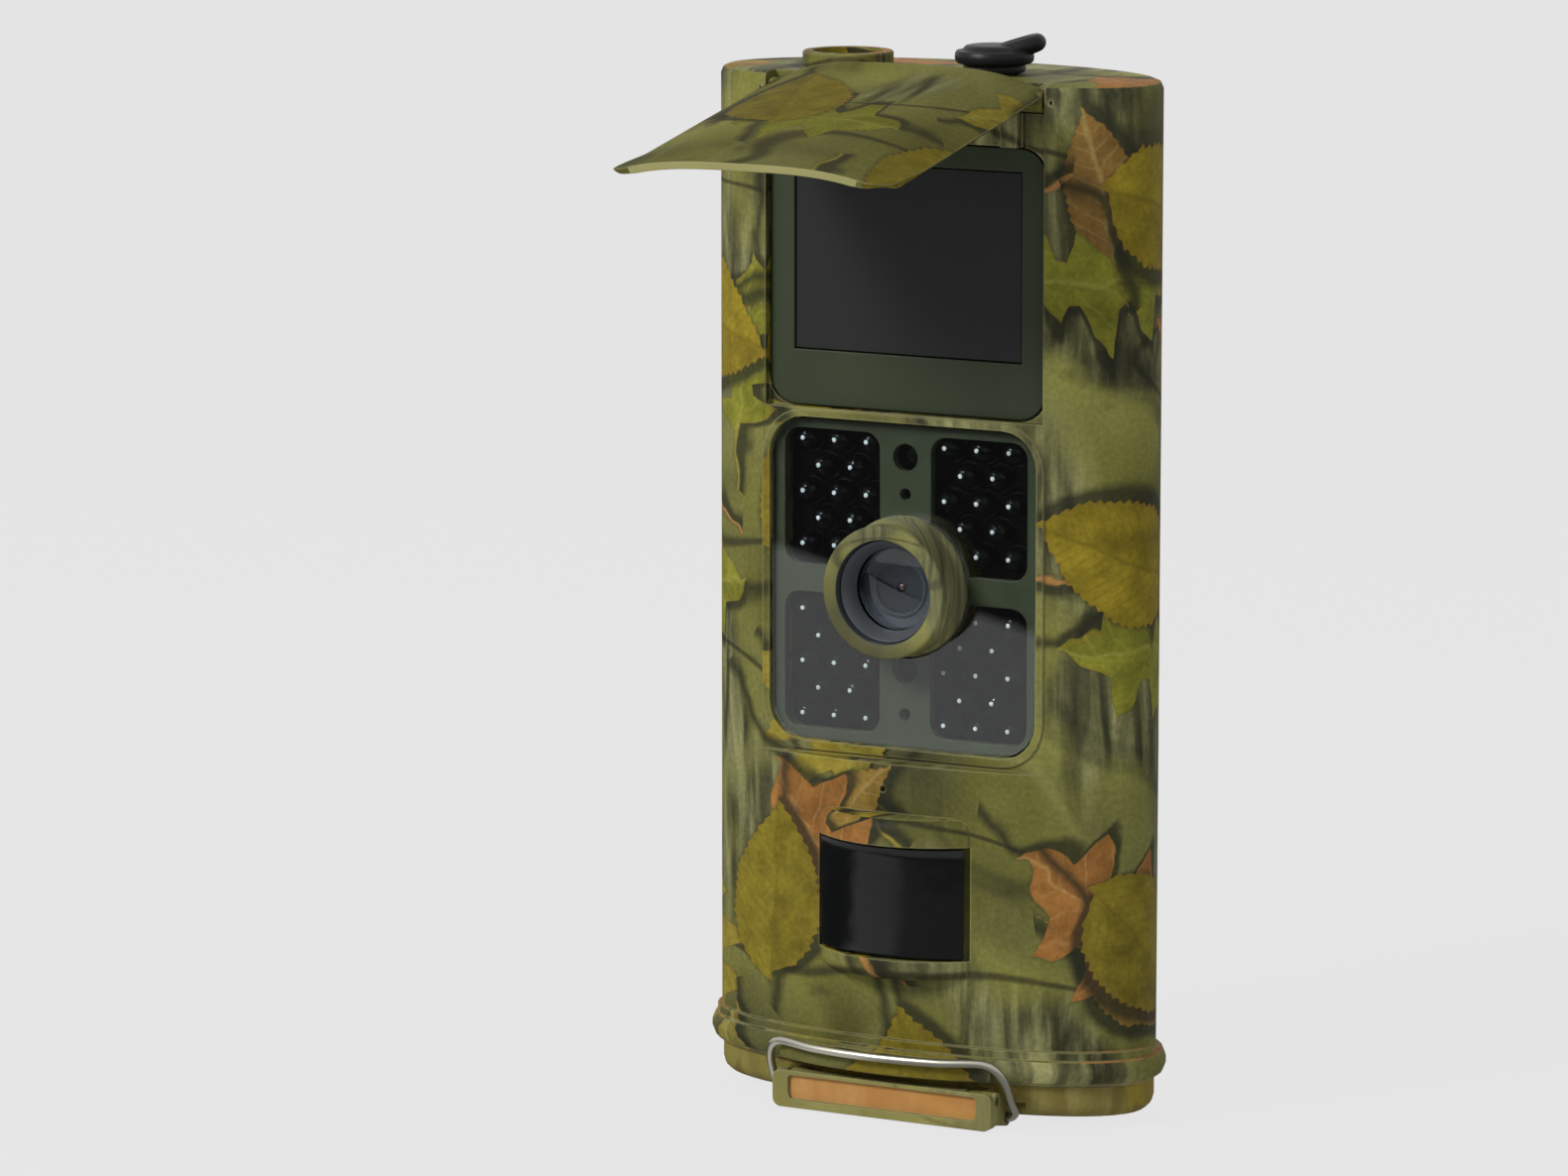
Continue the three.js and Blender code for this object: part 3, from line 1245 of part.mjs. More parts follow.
// Rear bracket: a web that stands off the back, with two toothed cheeks that a strap passes through
function buildBracket() {
  const back = widestDepth + rearReach;
  const webFront = back + fit;
  const webBack = webFront + bracketWeb;
  const edge = webFront + bracketReach;
  const profile = [[webFront, bracketBottom], [edge - toothDepth * 2, bracketBottom]];
  const pitch = (bracketTop - bracketBottom) / toothCount;
  for (let i = 0; i < toothCount; i++) {
    const low = bracketBottom + pitch * i;
    profile.push([edge - toothDepth, low + pitch * 0.1], [edge, low + pitch * 0.5], [edge - toothDepth,
      low + pitch * 0.9]);
  }
  profile.push([edge - toothDepth * 2, bracketTop], [webFront, bracketTop]);
  const middle = (bracketBottom + bracketTop) / 2;
  const web = box(-bracketHalfWidth, bracketHalfWidth, webFront, webBack, bracketBottom, bracketTop);
  let bracket = web;
  for (const side of [-1, 1]) {
    const [left, right] = side < 0 ? [-bracketHalfWidth, -bracketHalfWidth + bracketCheek]
      : [bracketHalfWidth - bracketCheek, bracketHalfWidth];
    bracket = join(bracket, prismX(polygon(profile), left, right));
  }
  const slotFront = webBack + (edge - toothDepth * 2 - webBack - strapSlotDepth) / 2;
  bracket = cut(bracket, box(-bodyHalfWidth, bodyHalfWidth, slotFront, slotFront + strapSlotDepth,
    middle - strapSlotHeight / 2, middle + strapSlotHeight / 2));
  const bossBack = webBack + bracketStandoff;
  bracket = join(bracket, rodY(bossRadius, 0, middle, webFront, bossBack, 24));
  bracket = cut(bracket, rodY(insertFlange, 0, middle, 0, bossBack + overrun, 18));
  const seat = housingCurvePad(webFront);
  add('strap_bracket', join(bracket, ...seat), camouflage());
  add('tripod_insert', cut(rodY(insertFlange - fit, 0, middle, webFront, bossBack, 12),
    rodY(insertBore, 0, middle, webFront + fit, bossBack + overrun, 14)), finish('#b9923f', 0.3, 1));
}

// Feet of the bracket that follow the housing's curved back
function housingCurvePad(webFront) {
  const pads = [];
  for (const side of [-1, 1]) {
    const [left, right] = side < 0 ? [-bracketHalfWidth, -bracketHalfWidth + bracketCheek]
      : [bracketHalfWidth - bracketCheek, bracketHalfWidth];
    const blockFront = widestDepth + rearReach * Math.sqrt(1 - (bracketHalfWidth / bodyHalfWidth) ** 2);
    const block = box(left, right, blockFront, webFront + fit, bracketBottom, bracketTop);
    pads.push(cut(block, prismZ(outline(fit), bracketBottom - overrun, bracketTop + overrun)));
  }
  return pads;
}

buildShells();
buildLampPanel();
buildLampBoard();
buildScreen();
buildLens();
buildSensor();
buildLid();
buildTop();
buildBase();
buildLatch();
buildBatteries();
buildControls();
buildBracket();

export default camera;
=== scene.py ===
"""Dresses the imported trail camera: shells with a printed leaf film, lamps, lens, wire, plug and screws.

Lengths in the functions are millimetres, with depth counted from the lamp panel's plane, and become
metres in the row's own frame when a mesh is made.
"""

import json
import math
from functools import partial

import bpy
import numpy as np
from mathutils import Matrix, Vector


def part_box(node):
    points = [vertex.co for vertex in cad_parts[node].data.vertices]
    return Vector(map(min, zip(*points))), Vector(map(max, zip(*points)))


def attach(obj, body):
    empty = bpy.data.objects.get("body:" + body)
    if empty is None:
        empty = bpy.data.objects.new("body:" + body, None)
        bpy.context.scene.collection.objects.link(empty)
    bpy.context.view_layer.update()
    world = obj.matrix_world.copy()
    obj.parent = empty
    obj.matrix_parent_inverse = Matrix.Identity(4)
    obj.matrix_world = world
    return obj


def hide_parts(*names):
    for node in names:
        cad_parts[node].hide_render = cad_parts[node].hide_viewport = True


bl_info = {
    "name": "Trail camera dressing",
    "version": (1, 1, 0),
    "blender": (4, 5, 0),
    "location": "3D View > Sidebar > Trail camera",
    "description": "Builds the visible surfaces and finishes of a trail camera over its packed frame",
    "category": "Add Mesh",
}

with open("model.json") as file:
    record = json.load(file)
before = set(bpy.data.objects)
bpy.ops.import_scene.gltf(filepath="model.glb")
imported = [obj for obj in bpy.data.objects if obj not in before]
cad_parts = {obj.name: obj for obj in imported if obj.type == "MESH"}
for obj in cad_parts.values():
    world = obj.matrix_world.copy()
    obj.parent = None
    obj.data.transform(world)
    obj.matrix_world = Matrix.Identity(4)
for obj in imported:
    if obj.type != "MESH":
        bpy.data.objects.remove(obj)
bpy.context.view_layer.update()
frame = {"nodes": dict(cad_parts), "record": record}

MM = 0.001
FOOT_DEPTH = 24.0
SMOOTH_ANGLE = 34.0

# Housing outline, as the frame has it
HALF_WIDTH = 42.8
WIDEST_DEPTH = 13.7
FRONT_REACH = 17.3
REAR_REACH = 23.5
SQUARENESS = 2.2

# Faces whose normal rises past this count as level, and take their print from another part of the film
LEVEL_NORMAL = 0.75
LEVEL_PRINT = (190.0, 260.0)

# Visor, drawn level about its hinge line
VISOR_PIVOT = (1.2, 183.9)
VISOR_DROOP = 10.8
VISOR_HALF_WIDTH = 27.2
VISOR_LENGTH = 61.2
VISOR_TAIL = 1.9
VISOR_BASE = 0.6
VISOR_LIP = 0.5
VISOR_ARCH = 4.1
VISOR_THICKNESS = 1.8
VISOR_SQUARENESS = 3.2
VISOR_CORNER = 5.0
VISOR_SPREAD = 1.8
VISOR_SIDE_SETBACK = 0.5
VISOR_END_STEP = 1.95
VISOR_LEAST_WALL = 0.45
BARREL_RADIUS = 1.9
BARREL_SIDES = 32
BARREL_LENGTHS = ((-27.2, -22.8), (-18.8, 18.8), (22.8, 27.2))

# Lamp panel
PANEL_MIDDLE = 96.1
PANEL_HALF_HEIGHT = 29.1
PANEL_HALF_WIDTH = 26.4
PANEL_CORNER = 6.8
BOARD_HOLE = 12.4
BOARD_FRONT = 5.8
BOARD_BACK = 7.4
LAMP_RADIUS = 2.3
LAMP_ROWS = 5
LAMP_FIRST = (7.84, 5.9)
LAMP_STEP = (3.2, 4.775)
# Bright cup in each lamp, set up and to the left of its middle: a silvered cup and a painted highlight
HIGHLIGHT_CUP_RADIUS = 0.42
HIGHLIGHT_CUP_ASIDE = 0.25

# Sensors in the panel's middle strip: height as a share of its half height, and radius
STUBS = ((0.794, 2.1), (0.567, 0.9), (-0.519, 2.1), (-0.801, 0.9))

# Lens
LENS_REACH = 7.7
LENS_SIDES = 128

# Sunk face of the lever: its half width, its height on the node, and how low it reaches here
RECESS_HALF_WIDTH = 19.1
RECESS_LOW = 3.7
RECESS_HIGH = 6.5
RECESS_REACH = 2.1
RECESS_DEPTH_FROM = 0.5
RECESS_DEPTH_TO = 1.0
RECESS_EDGE_DEPTH = 0.8

# Sensor window, top fittings and bracket
PANE_HALF_WIDTH = 14.4
PANE_FRONT = 8.0
PANE_SIDE = 3.6
PANE_THICKNESS = 1.1
PLUG_ASIDE = 11.0
COLLAR_ASIDE = -18.3
TOP_DEPTH = 13.7
TAB_PLACE = (4.3, 0, 191.7)
TAB_HALF_LENGTH = 3.4
TAB_HALF_WIDTH = 2.3
TAB_RADIUS = 1.6
TAB_SQUARENESS = 2.6
TAB_TILT = 17.0
TAB_SWING = 24.0
THREAD_RIDGES = 5
THREAD_PITCH = 0.6
BRACKET_BACK = 40.52

# Stage: the camera's focal length in widths of the photograph, its place and angles, and the lights
FOCAL_IN_WIDTHS = 7500.0 / 1581.0
SENSOR_WIDTH = 36.0
CAMERA_PLACE = (0.60317, -1.15982 - FOOT_DEPTH * MM, 0.31392)
CAMERA_AZIMUTH = 28.4
CAMERA_ELEVATION = 9.47
FLOOR_REACH = 40.0
SHEET_END = 0.271
LIGHTS = (
    ("key_light", (-0.5, -0.95, 0.85), 13.5, 0.36, (0, 0, 0.1)),
    ("fill_light", (0.95, -0.55, 0.55), 1.5, 0.8, (0, 0, 0.09)),
    ("top_light", (0.05, 0.3, 1.1), 1.8, 0.6, (0, 0, 0.1)),
)


def linear(colour):
    """An sRGB hex colour as linear red, green, blue and one."""
    channels = [int(colour[i : i + 2], 16) / 255 for i in (1, 3, 5)]
    return tuple(c / 12.92 if c < 0.04045 else ((c + 0.055) / 1.055) ** 2.4 for c in channels) + (1.0,)


# Meshes


def in_row(points):
    """Millimetres with depth from the lamp panel's plane, as metres in the row's frame."""
    moved = np.array(points, float).reshape(-1, 3).copy()
    moved[:, 1] -= FOOT_DEPTH
    return moved * MM


def film_coordinates(points, normals):
    """Where the printed film lies, in millimetres: round the housing and up, and flat on level faces.

    The length round it comes from a table of the outline: half a squarish ellipse in front, half a plain
    one behind.
    """
    turn = np.linspace(-np.pi, np.pi, 721)
    power = np.where(turn < 0, 2 / SQUARENESS, 1.0)
    reach = np.where(turn < 0, FRONT_REACH, REAR_REACH)
    across = HALF_WIDTH * np.sign(np.cos(turn)) * np.abs(np.cos(turn)) ** power
    along = reach * np.sign(np.sin(turn)) * np.abs(np.sin(turn)) ** power
    length = np.concatenate([[0], np.cumsum(np.hypot(np.diff(across), np.diff(along)))])
    table_turn = np.unwrap(np.arctan2(along, across))
    place = points / MM
    angle = np.arctan2(place[:, 1] + FOOT_DEPTH - WIDEST_DEPTH, place[:, 0])
    round_it = np.interp(angle, table_turn, length)
    level = np.abs(normals[:, 2]) > LEVEL_NORMAL
    u = np.where(level, place[:, 0] + LEVEL_PRINT[0], round_it)
    v = np.where(level, place[:, 1] + LEVEL_PRINT[1], place[:, 2])
    return np.stack([u, v], axis=1)


def build_mesh(name, points, faces, film=None, finish_index=None):
    """A mesh from points in metres and faces, smooth but for sharp edges, with its film coordinates."""
    mesh = bpy.data.meshes.new(name)
    mesh.from_pydata(points.tolist(), [], [list(map(int, face)) for face in faces])
    if finish_index is not None:
        mesh.polygons.foreach_set("material_index", np.asarray(finish_index, np.int32))
    mesh.polygons.foreach_set("use_smooth", np.ones(len(mesh.polygons), bool))
    mesh.set_sharp_from_angle(angle=math.radians(bpy.context.scene.trail_camera_housing.smooth_angle))
    corner_point = np.zeros(len(mesh.loops), np.int32)
    mesh.loops.foreach_get("vertex_index", corner_point)
    if film is None:
        places = np.zeros(len(mesh.vertices) * 3)
        mesh.vertices.foreach_get("co", places)
        sizes = np.zeros(len(mesh.polygons), np.int32)
        mesh.polygons.foreach_get("loop_total", sizes)
        normals = np.zeros(len(mesh.polygons) * 3)
        mesh.polygons.foreach_get("normal", normals)
        corner_normal = np.repeat(normals.reshape(-1, 3), sizes, axis=0)
        uv = film_coordinates(places.reshape(-1, 3)[corner_point], corner_normal)
    else:
        uv = film[corner_point]
    layer = mesh.uv_layers.new(name="film")
    layer.data.foreach_set("uv", uv.astype(np.float32).ravel())
    return mesh


def place(name, mesh, finish, body, slot_name, replaced=()):
    """Puts a mesh into the scene at the origin with its finishes, and lets it ride on a body of the frame."""
    piece = bpy.data.objects.new(name, mesh)
    bpy.context.scene.collection.objects.link(piece)
    for key in finish.split():
        mesh.materials.append(finishes[key])
    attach(piece, body)
    if replaced:
        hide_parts(*replaced)


def add_piece(name, shape, finish, body, slot_name, replaced=(), film=None, finish_index=None):
    """Makes a shape, given as points in millimetres and faces, a piece of the scene."""
    mesh = build_mesh(name, in_row(shape[0]), shape[1], film, finish_index)
    place(name, mesh, finish, body, slot_name, replaced)


def grid(rows, columns, close_rows=False, close_columns=False):
    """Faces of a grid of rows by columns points, closed round either way where asked."""
    r = np.arange(rows if close_rows else rows - 1)
    c = np.arange(columns if close_columns else columns - 1)
    rr, cc = np.meshgrid(r, c, indexing="ij")
    a = rr * columns + cc
    b = rr * columns + (cc + 1) % columns
    d = ((rr + 1) % rows) * columns + cc
    e = ((rr + 1) % rows) * columns + (cc + 1) % columns
    return np.stack([a, b, e, d], axis=-1).reshape(-1, 4)


def merged_copy(node):
    """A node's mesh as a merged copy: its loose corners that share a place become one point."""
    source = frame["nodes"][node].data
    places = np.zeros(len(source.vertices) * 3)
    source.vertices.foreach_get("co", places)
    corners = np.zeros(len(source.loops), np.int64)
    source.loops.foreach_get("vertex_index", corners)
    cells = np.round(places.reshape(-1, 3) / 1e-6).astype(np.int64)
    _, first, back = np.unique(cells, axis=0, return_index=True, return_inverse=True)
    faces = back.ravel()[corners].reshape(-1, 3)
    whole = (faces[:, 0] != faces[:, 1]) & (faces[:, 1] != faces[:, 2]) & (faces[:, 2] != faces[:, 0])
    return places.reshape(-1, 3)[first], faces[whole]


def facing_out(points, faces):
    """A closed piece with its faces turned outwards: all are turned over where its volume is below zero."""
    volume = 0.0
    for size in {len(face) for face in faces}:
        ring = np.array([face for face in faces if len(face) == size])
        for k in range(1, size - 1):
            a, b, c = points[ring[:, 0]], points[ring[:, k]], points[ring[:, k + 1]]
            volume += np.einsum("ij,ij->", a, np.cross(b, c))
    return points, [list(face)[::-1] for face in faces] if volume < 0 else [list(face) for face in faces]


def turned(profile, sides, centre, axis="Y", ring=False):
    """A profile of (radius, place) pairs carried round an axis: closed as a ring, or by its two poles."""
    profile = np.array(profile, float)
    start_pole, end_pole = profile[0, 0] < 1e-9, profile[-1, 0] < 1e-9
    body = profile[int(start_pole) : len(profile) - int(end_pole)]
    turn = np.linspace(0, 2 * np.pi, sides, endpoint=False)
    radius, along = body[:, 0][:, None], body[:, 1][:, None] + 0 * turn
    one, two = radius * np.cos(turn), radius * np.sin(turn)
    order = (two, along, one) if axis == "Y" else (one, two, along)
    points = np.stack(order, axis=-1).reshape(-1, 3)
    faces = grid(len(body), sides, close_rows=ring, close_columns=True).tolist()
    poles = ((start_pole, 0, profile[0, 1], True), (end_pole, len(body) - 1, profile[-1, 1], False))
    for used, row, spot, flip in poles:
        if used:
            pole = (0, spot, 0) if axis == "Y" else (0, 0, spot)
            points = np.vstack([points, pole])
            rim = row * sides + np.arange(sides)
            fan = np.stack([np.full(sides, len(points) - 1), rim, np.roll(rim, -1)], axis=1)
            faces += (fan[:, ::-1] if flip else fan).tolist()
    return facing_out(points + np.array(centre, float), faces)


def tube(path, radius, sides, closed=False):
    """A round tube along a path: circles square to it, whose turn is carried on from one to the next."""
    path = np.array(path, float)
    if closed:
        ahead = np.roll(path, -1, axis=0) - np.roll(path, 1, axis=0)
    else:
        ahead = np.gradient(path, axis=0)
    ahead /= np.linalg.norm(ahead, axis=1)[:, None]
    normal = np.zeros_like(path)
    start = np.cross(ahead[0], [0.0, 0.0, 1.0])
    if np.linalg.norm(start) < 0.1:
        start = np.cross(ahead[0], [0.0, 1.0, 0.0])
    normal[0] = start / np.linalg.norm(start)
    for i in range(1, len(path)):
        carried = normal[i - 1] - ahead[i] * np.dot(normal[i - 1], ahead[i])
        normal[i] = carried / np.linalg.norm(carried)
    side = np.cross(ahead, normal)
    turn = np.linspace(0, 2 * np.pi, sides, endpoint=False)
    ring = normal[:, None] * np.cos(turn)[:, None] + side[:, None] * np.sin(turn)[:, None]
    points = (path[:, None] + ring * radius).reshape(-1, 3)
    faces = grid(len(path), sides, close_rows=closed, close_columns=True).tolist()
    if not closed:
        faces.append(list(range(sides))[::-1])
        faces.append(list(range(len(points) - sides, len(points))))
    return facing_out(points, faces)


def smooth_path(knots, count):
    """A curve through all knots: a cubic spline spaced by the root of their distances, evenly sampled."""
    knots = np.array(knots, float)
    knots = np.vstack([2 * knots[0] - knots[1], knots, 2 * knots[-1] - knots[-2]])
    stops = np.concatenate([[0], np.cumsum(np.linalg.norm(np.diff(knots, axis=0), axis=1) ** 0.5)])
    wanted = np.linspace(stops[1], stops[-2] - 1e-9, count)
    i = np.clip(np.searchsorted(stops, wanted, side="right") - 1, 1, len(knots) - 3)
    t0, t1, t2, t3 = stops[i - 1], stops[i], stops[i + 1], stops[i + 2]
    p0, p1, p2, p3 = knots[i - 1], knots[i], knots[i + 1], knots[i + 2]

    def between(a, b, ta, tb):
        share = ((wanted - ta) / (tb - ta))[:, None]
        return a + (b - a) * share

    a1, a2, a3 = between(p0, p1, t0, t1), between(p1, p2, t1, t2), between(p2, p3, t2, t3)
    b1, b2 = between(a1, a2, t0, t2), between(a2, a3, t1, t3)
    return between(b1, b2, t1, t2)


def end_faces(first, columns, turn):
    """Quads that close the end of a loop of two equal runs, the second one running back."""
    i = np.arange(columns - 1)
    last = first + 2 * columns - 1
    return np.stack([first + i, first + i + 1, last - 1 - i, last - i], axis=1)[:, ::turn].tolist()


def band(outer, inner, levels, axis):
    """A closed strip: two equal runs of (x, y) points, one over the other, carried along a list of levels.

    Each level is (place, inset). The inset draws both runs together, which rounds the two ends.
    """
    outer, inner = np.array(outer, float), np.array(inner, float)
    middle = (outer + inner) / 2
    half = np.linalg.norm(outer - inner, axis=1)[:, None] / 2
    rows = []
    for spot, inset in levels:
        near = 1 - inset / half
        run = np.vstack([middle + (outer - middle) * near, (middle + (inner - middle) * near)[::-1]])
        rows.append(np.insert(run, axis, spot, axis=1))
    loop = len(outer) * 2
    points = np.vstack(rows)
    faces = grid(len(levels), loop, close_columns=True).tolist()
    for row, turn in ((0, -1), (len(levels) - 1, 1)):
        faces += end_faces(row * loop, len(outer), turn)
    return facing_out(points, faces)


def pierced_plate(half_width, half_height, corner, hole, front, back, sides):
    """A plate with rounded corners and a round hole, as four rings of points at the same turns."""
    turn = np.linspace(0, 2 * np.pi, sides, endpoint=False)
    direction = np.stack([np.sin(turn), np.cos(turn)], axis=1)
    reach = np.min(np.array([half_width, half_height]) / np.maximum(np.abs(direction), 1e-9), axis=1)
    edge = np.abs(direction * reach[:, None])
    core = np.array([half_width - corner, half_height - corner])
    inside = np.all(edge > core, axis=1)
    along = np.abs(direction) @ core
    cross = along**2 - (core @ core - corner**2)
    rounded = along + np.sqrt(np.maximum(cross, 0))
    reach = np.where(inside, rounded, reach)
    rows = []
    for radius, depth in ((hole, back), (hole, front), (reach, front), (reach, back)):
        spots = direction * (radius[:, None] if isinstance(radius, np.ndarray) else radius)
        rows.append(np.stack([spots[:, 0], np.full(sides, depth), spots[:, 1]], axis=1))
    points = np.vstack(rows) + np.array([0, 0, PANEL_MIDDLE])
    return facing_out(points, grid(4, sides, close_rows=True, close_columns=True).tolist())


def joined(parts):
    """Several (points, faces) pairs as one."""
    points, faces, offset = [], [], 0
    for part_points, part_faces in parts:
        points.append(part_points)
        faces += [[int(i) + offset for i in face] for face in part_faces]
        offset += len(part_points)
    return np.vstack(points), faces


# Materials


def add_node(tree, kind, inputs=(), **settings):
    """Adds one shader node with its settings, and gives its inputs a value or a link.

    The inputs are a list in their order, or a table by index or name. A node given as a value stands for its
    first output in use.
    """
    made = tree.nodes.new("ShaderNode" + kind)
    for key, value in settings.items():
        setattr(made, key, value)
    for key, value in inputs.items() if isinstance(inputs, dict) else enumerate(inputs):
        if isinstance(value, bpy.types.Node):
            value = next(output for output in value.outputs if output.enabled)
        if isinstance(value, bpy.types.NodeSocket):
            tree.links.new(value, made.inputs[key])
        else:
            made.inputs[key].default_value = value
    return made


def new_material(name):
    """An empty node material with its output and a Principled shader joined."""
    material = bpy.data.materials.new(name)
    material.use_nodes = True
    tree = material.node_tree
    tree.nodes.clear()
    shader = add_node(tree, "BsdfPrincipled")
    add_node(tree, "OutputMaterial", {"Surface": shader})
    return material, tree, shader


def show_surface(tree, node):
    """Joins a node to the material's output in place of the Principled shader."""
    output = next(item for item in tree.nodes if item.type == "OUTPUT_MATERIAL")
    tree.links.new(node.outputs[0], output.inputs["Surface"])


def set_sockets(shader, **values):
    """Sets constants on a shader's own sockets; underscores stand for spaces."""
    for key, value in values.items():
        shader.inputs[key.replace("_", " ")].default_value = value


def grained(tree, shader, grain_mm, strength, distance_mm=0.05):
    """Fine moulded grain as bump over softly broken edges: noise whose size is given in millimetres."""
    place_in_object = add_node(tree, "TexCoord")
    noise = add_node(tree, "TexNoise", {
        "Vector": place_in_object.outputs["Object"], "Scale": 1 / (grain_mm * MM), "Detail": 2.0})
    if not strength:
        return noise
    bump = add_node(tree, "Bump", {"Height": noise, "Strength": strength, "Distance": distance_mm * MM})
    radius = bpy.context.scene.trail_camera_housing.edge_radius
    rounded = add_node(tree, "Bevel", {"Radius": radius}, samples=4)
    tree.links.new(rounded.outputs[0], bump.inputs["Normal"])
    tree.links.new(bump.outputs[0], shader.inputs["Normal"])
    return noise


def noise_share(tree, noise, span, levels, interpolation="LINEAR", **settings):
    """A value that runs from one level to the other where a noise runs over a span."""
    field = add_node(tree, "TexNoise", noise, **settings)
    return add_node(tree, "MapRange", {
        "Value": field, "From Min": span[0], "From Max": span[1], "To Min": levels[0], "To Max": levels[1]},
        interpolation_type=interpolation)


def ramped(tree, value, stops):
    """A colour from a value by a table of (place, hex colour) stops."""
    ramp = add_node(tree, "ValToRGB", [value])
    elements = ramp.color_ramp.elements
    elements[0].position, elements[1].position = stops[0][0], stops[-1][0]
    elements[0].color, elements[1].color = linear(stops[0][1]), linear(stops[-1][1])
    for spot, colour in stops[1:-1]:
        elements.new(spot).color = linear(colour)
    return ramp


# Print of the leaves, in millimetres: length of a tooth, how far the shade lies aside, slope of the side
# veins, and how much lighter one half is
TOOTH_LENGTH = 0.85
SHADE_ASIDE = 1.4
VEIN_SLOPE = 0.8
HALF_TONE = 0.07


def leaf_layer(tree, film, below, leaf):
    """Leaves of one kind over a colour: one in some cells of a scattered grid, each turned at random.

    In each cell the place is counted from the cell's own point, along and across the leaf. A curve gives the
    half width along it, with small teeth where the kind has them. Inside lies the leaf, with a midrib,
    slanting side veins and one half darker than the other. Just outside one edge the ground is in its shade.
    """
    node = partial(add_node, tree)
    turned_film = node("Mapping", {
        "Vector": film, "Location": leaf["shift"], "Rotation": (0, 0, leaf["turn"])})
    cells = node("TexVoronoi", {
        "Vector": turned_film, "Scale": 1 / leaf["spacing"], "Randomness": 0.38}, voronoi_dimensions="2D")
    local = node("VectorMath", [turned_film, cells.outputs["Position"]], operation="SUBTRACT")
    chance = node("SeparateColor", [cells.outputs["Color"]])
    angle = node("Math", [chance, 2 * math.pi], operation="MULTIPLY")
    laid = node("VectorRotate", {"Vector": local, "Angle": angle}, rotation_type="Z_AXIS")
    axes = node("SeparateXYZ", [laid])
    wobble = node("TexNoise", {"Vector": turned_film, "Scale": 0.13, "Detail": 1.5})
    centred = node("Math", [wobble, 0.5], operation="SUBTRACT")
    bent = node("Math", [centred, leaf["wobble"], axes.outputs[1]], operation="MULTIPLY_ADD")
    off = node("Math", [bent], operation="ABSOLUTE")
    side = node("Math", [bent], operation="SIGN")
    uneven = node("Math", [side, leaf["length"] * 0.025, axes], operation="MULTIPLY_ADD")
    along = node("MapRange", {
        "Value": uneven, "From Min": -leaf["length"] / 2, "From Max": leaf["length"] / 2})
    half = node("FloatCurve", {"Value": along})
    curve = half.mapping.curves[0]
    outline = leaf["outline"]
    curve.points[0].location = outline[0]
    curve.points[1].location = outline[-1]
    for spot in outline[1:-1]:
        curve.points.new(*spot)
    for point in curve.points:
        point.handle_type = "VECTOR"
    half.mapping.update()
    tooth = node("Math", [uneven, TOOTH_LENGTH], operation="PINGPONG")
    toothed = node("Math", [tooth, leaf["teeth"]], operation="MULTIPLY")
    cut_in = node("Math", [half, leaf["width"]], operation="MULTIPLY")
    inside = node("Math", [cut_in, toothed], operation="SUBTRACT")
    depth = node("Math", [inside, off], operation="SUBTRACT")
    present = node("Math", [chance.outputs[1], leaf["share"]], operation="LESS_THAN")
    shape = node("MapRange", {"Value": depth, "From Min": 0.0, "From Max": 0.3})
    mask = node("Math", [shape, present], operation="MULTIPLY")
    beside = node("Math", [bent, SHADE_ASIDE], operation="ADD")
    beside_off = node("Math", [beside], operation="ABSOLUTE")
    shade_depth = node("Math", [cut_in, beside_off], operation="SUBTRACT")
    shade = node("MapRange", {
        "Value": shade_depth, "From Min": -2.4, "From Max": 0.2, "To Max": 0.85},
        interpolation_type="SMOOTHSTEP")
    shaded = node("Math", [shade, present], operation="MULTIPLY")
    slanted = node("Math", [off, -VEIN_SLOPE, axes], operation="MULTIPLY_ADD")
    repeated = node("Math", [slanted, leaf["veins"]], operation="PINGPONG")
    vein = node("MapRange", {"Value": repeated, "From Min": 0.4, "From Max": 0.0, "To Max": 0.3})
    rib = node("MapRange", {"Value": off, "From Min": 0.6, "From Max": 0.15, "To Max": 0.5})
    lines = node("Math", [vein, rib], operation="MAXIMUM")
    hue = node("ValToRGB", [chance.outputs[2]])
    hue.color_ramp.interpolation = "CONSTANT"
    hue.color_ramp.elements[0].color = linear(leaf["colours"][0])
    hue.color_ramp.elements[1].position = 0.34
    hue.color_ramp.elements[1].color = linear(leaf["colours"][1])
    hue.color_ramp.elements.new(0.67).color = linear(leaf["colours"][2])
    mottled = noise_share(tree, {"Vector": turned_film, "Scale": 0.2, "Detail": 5.0}, (0.3, 0.7),
                          (0.66, 1.16))
    halved = node("Math", [side, HALF_TONE, mottled], operation="MULTIPLY_ADD")
    toned = node("VectorMath", {0: hue, "Scale": halved}, operation="SCALE")
    lined = node("Mix", {0: lines, 6: toned, 7: linear(leaf["rib"])}, data_type="RGBA")
    rim = node("MapRange", {"Value": depth, "From Min": 1.3, "From Max": 0.0, "To Max": 0.35})
    rimmed = node("Mix", {0: rim, 6: lined, 7: linear("#7a5522")}, data_type="RGBA")
    darkened = node("Mix", {0: shaded, 6: below, 7: linear("#26271b")}, data_type="RGBA")
    covered = node("Mix", {0: mask, 6: darkened, 7: rimmed}, data_type="RGBA")
    return covered


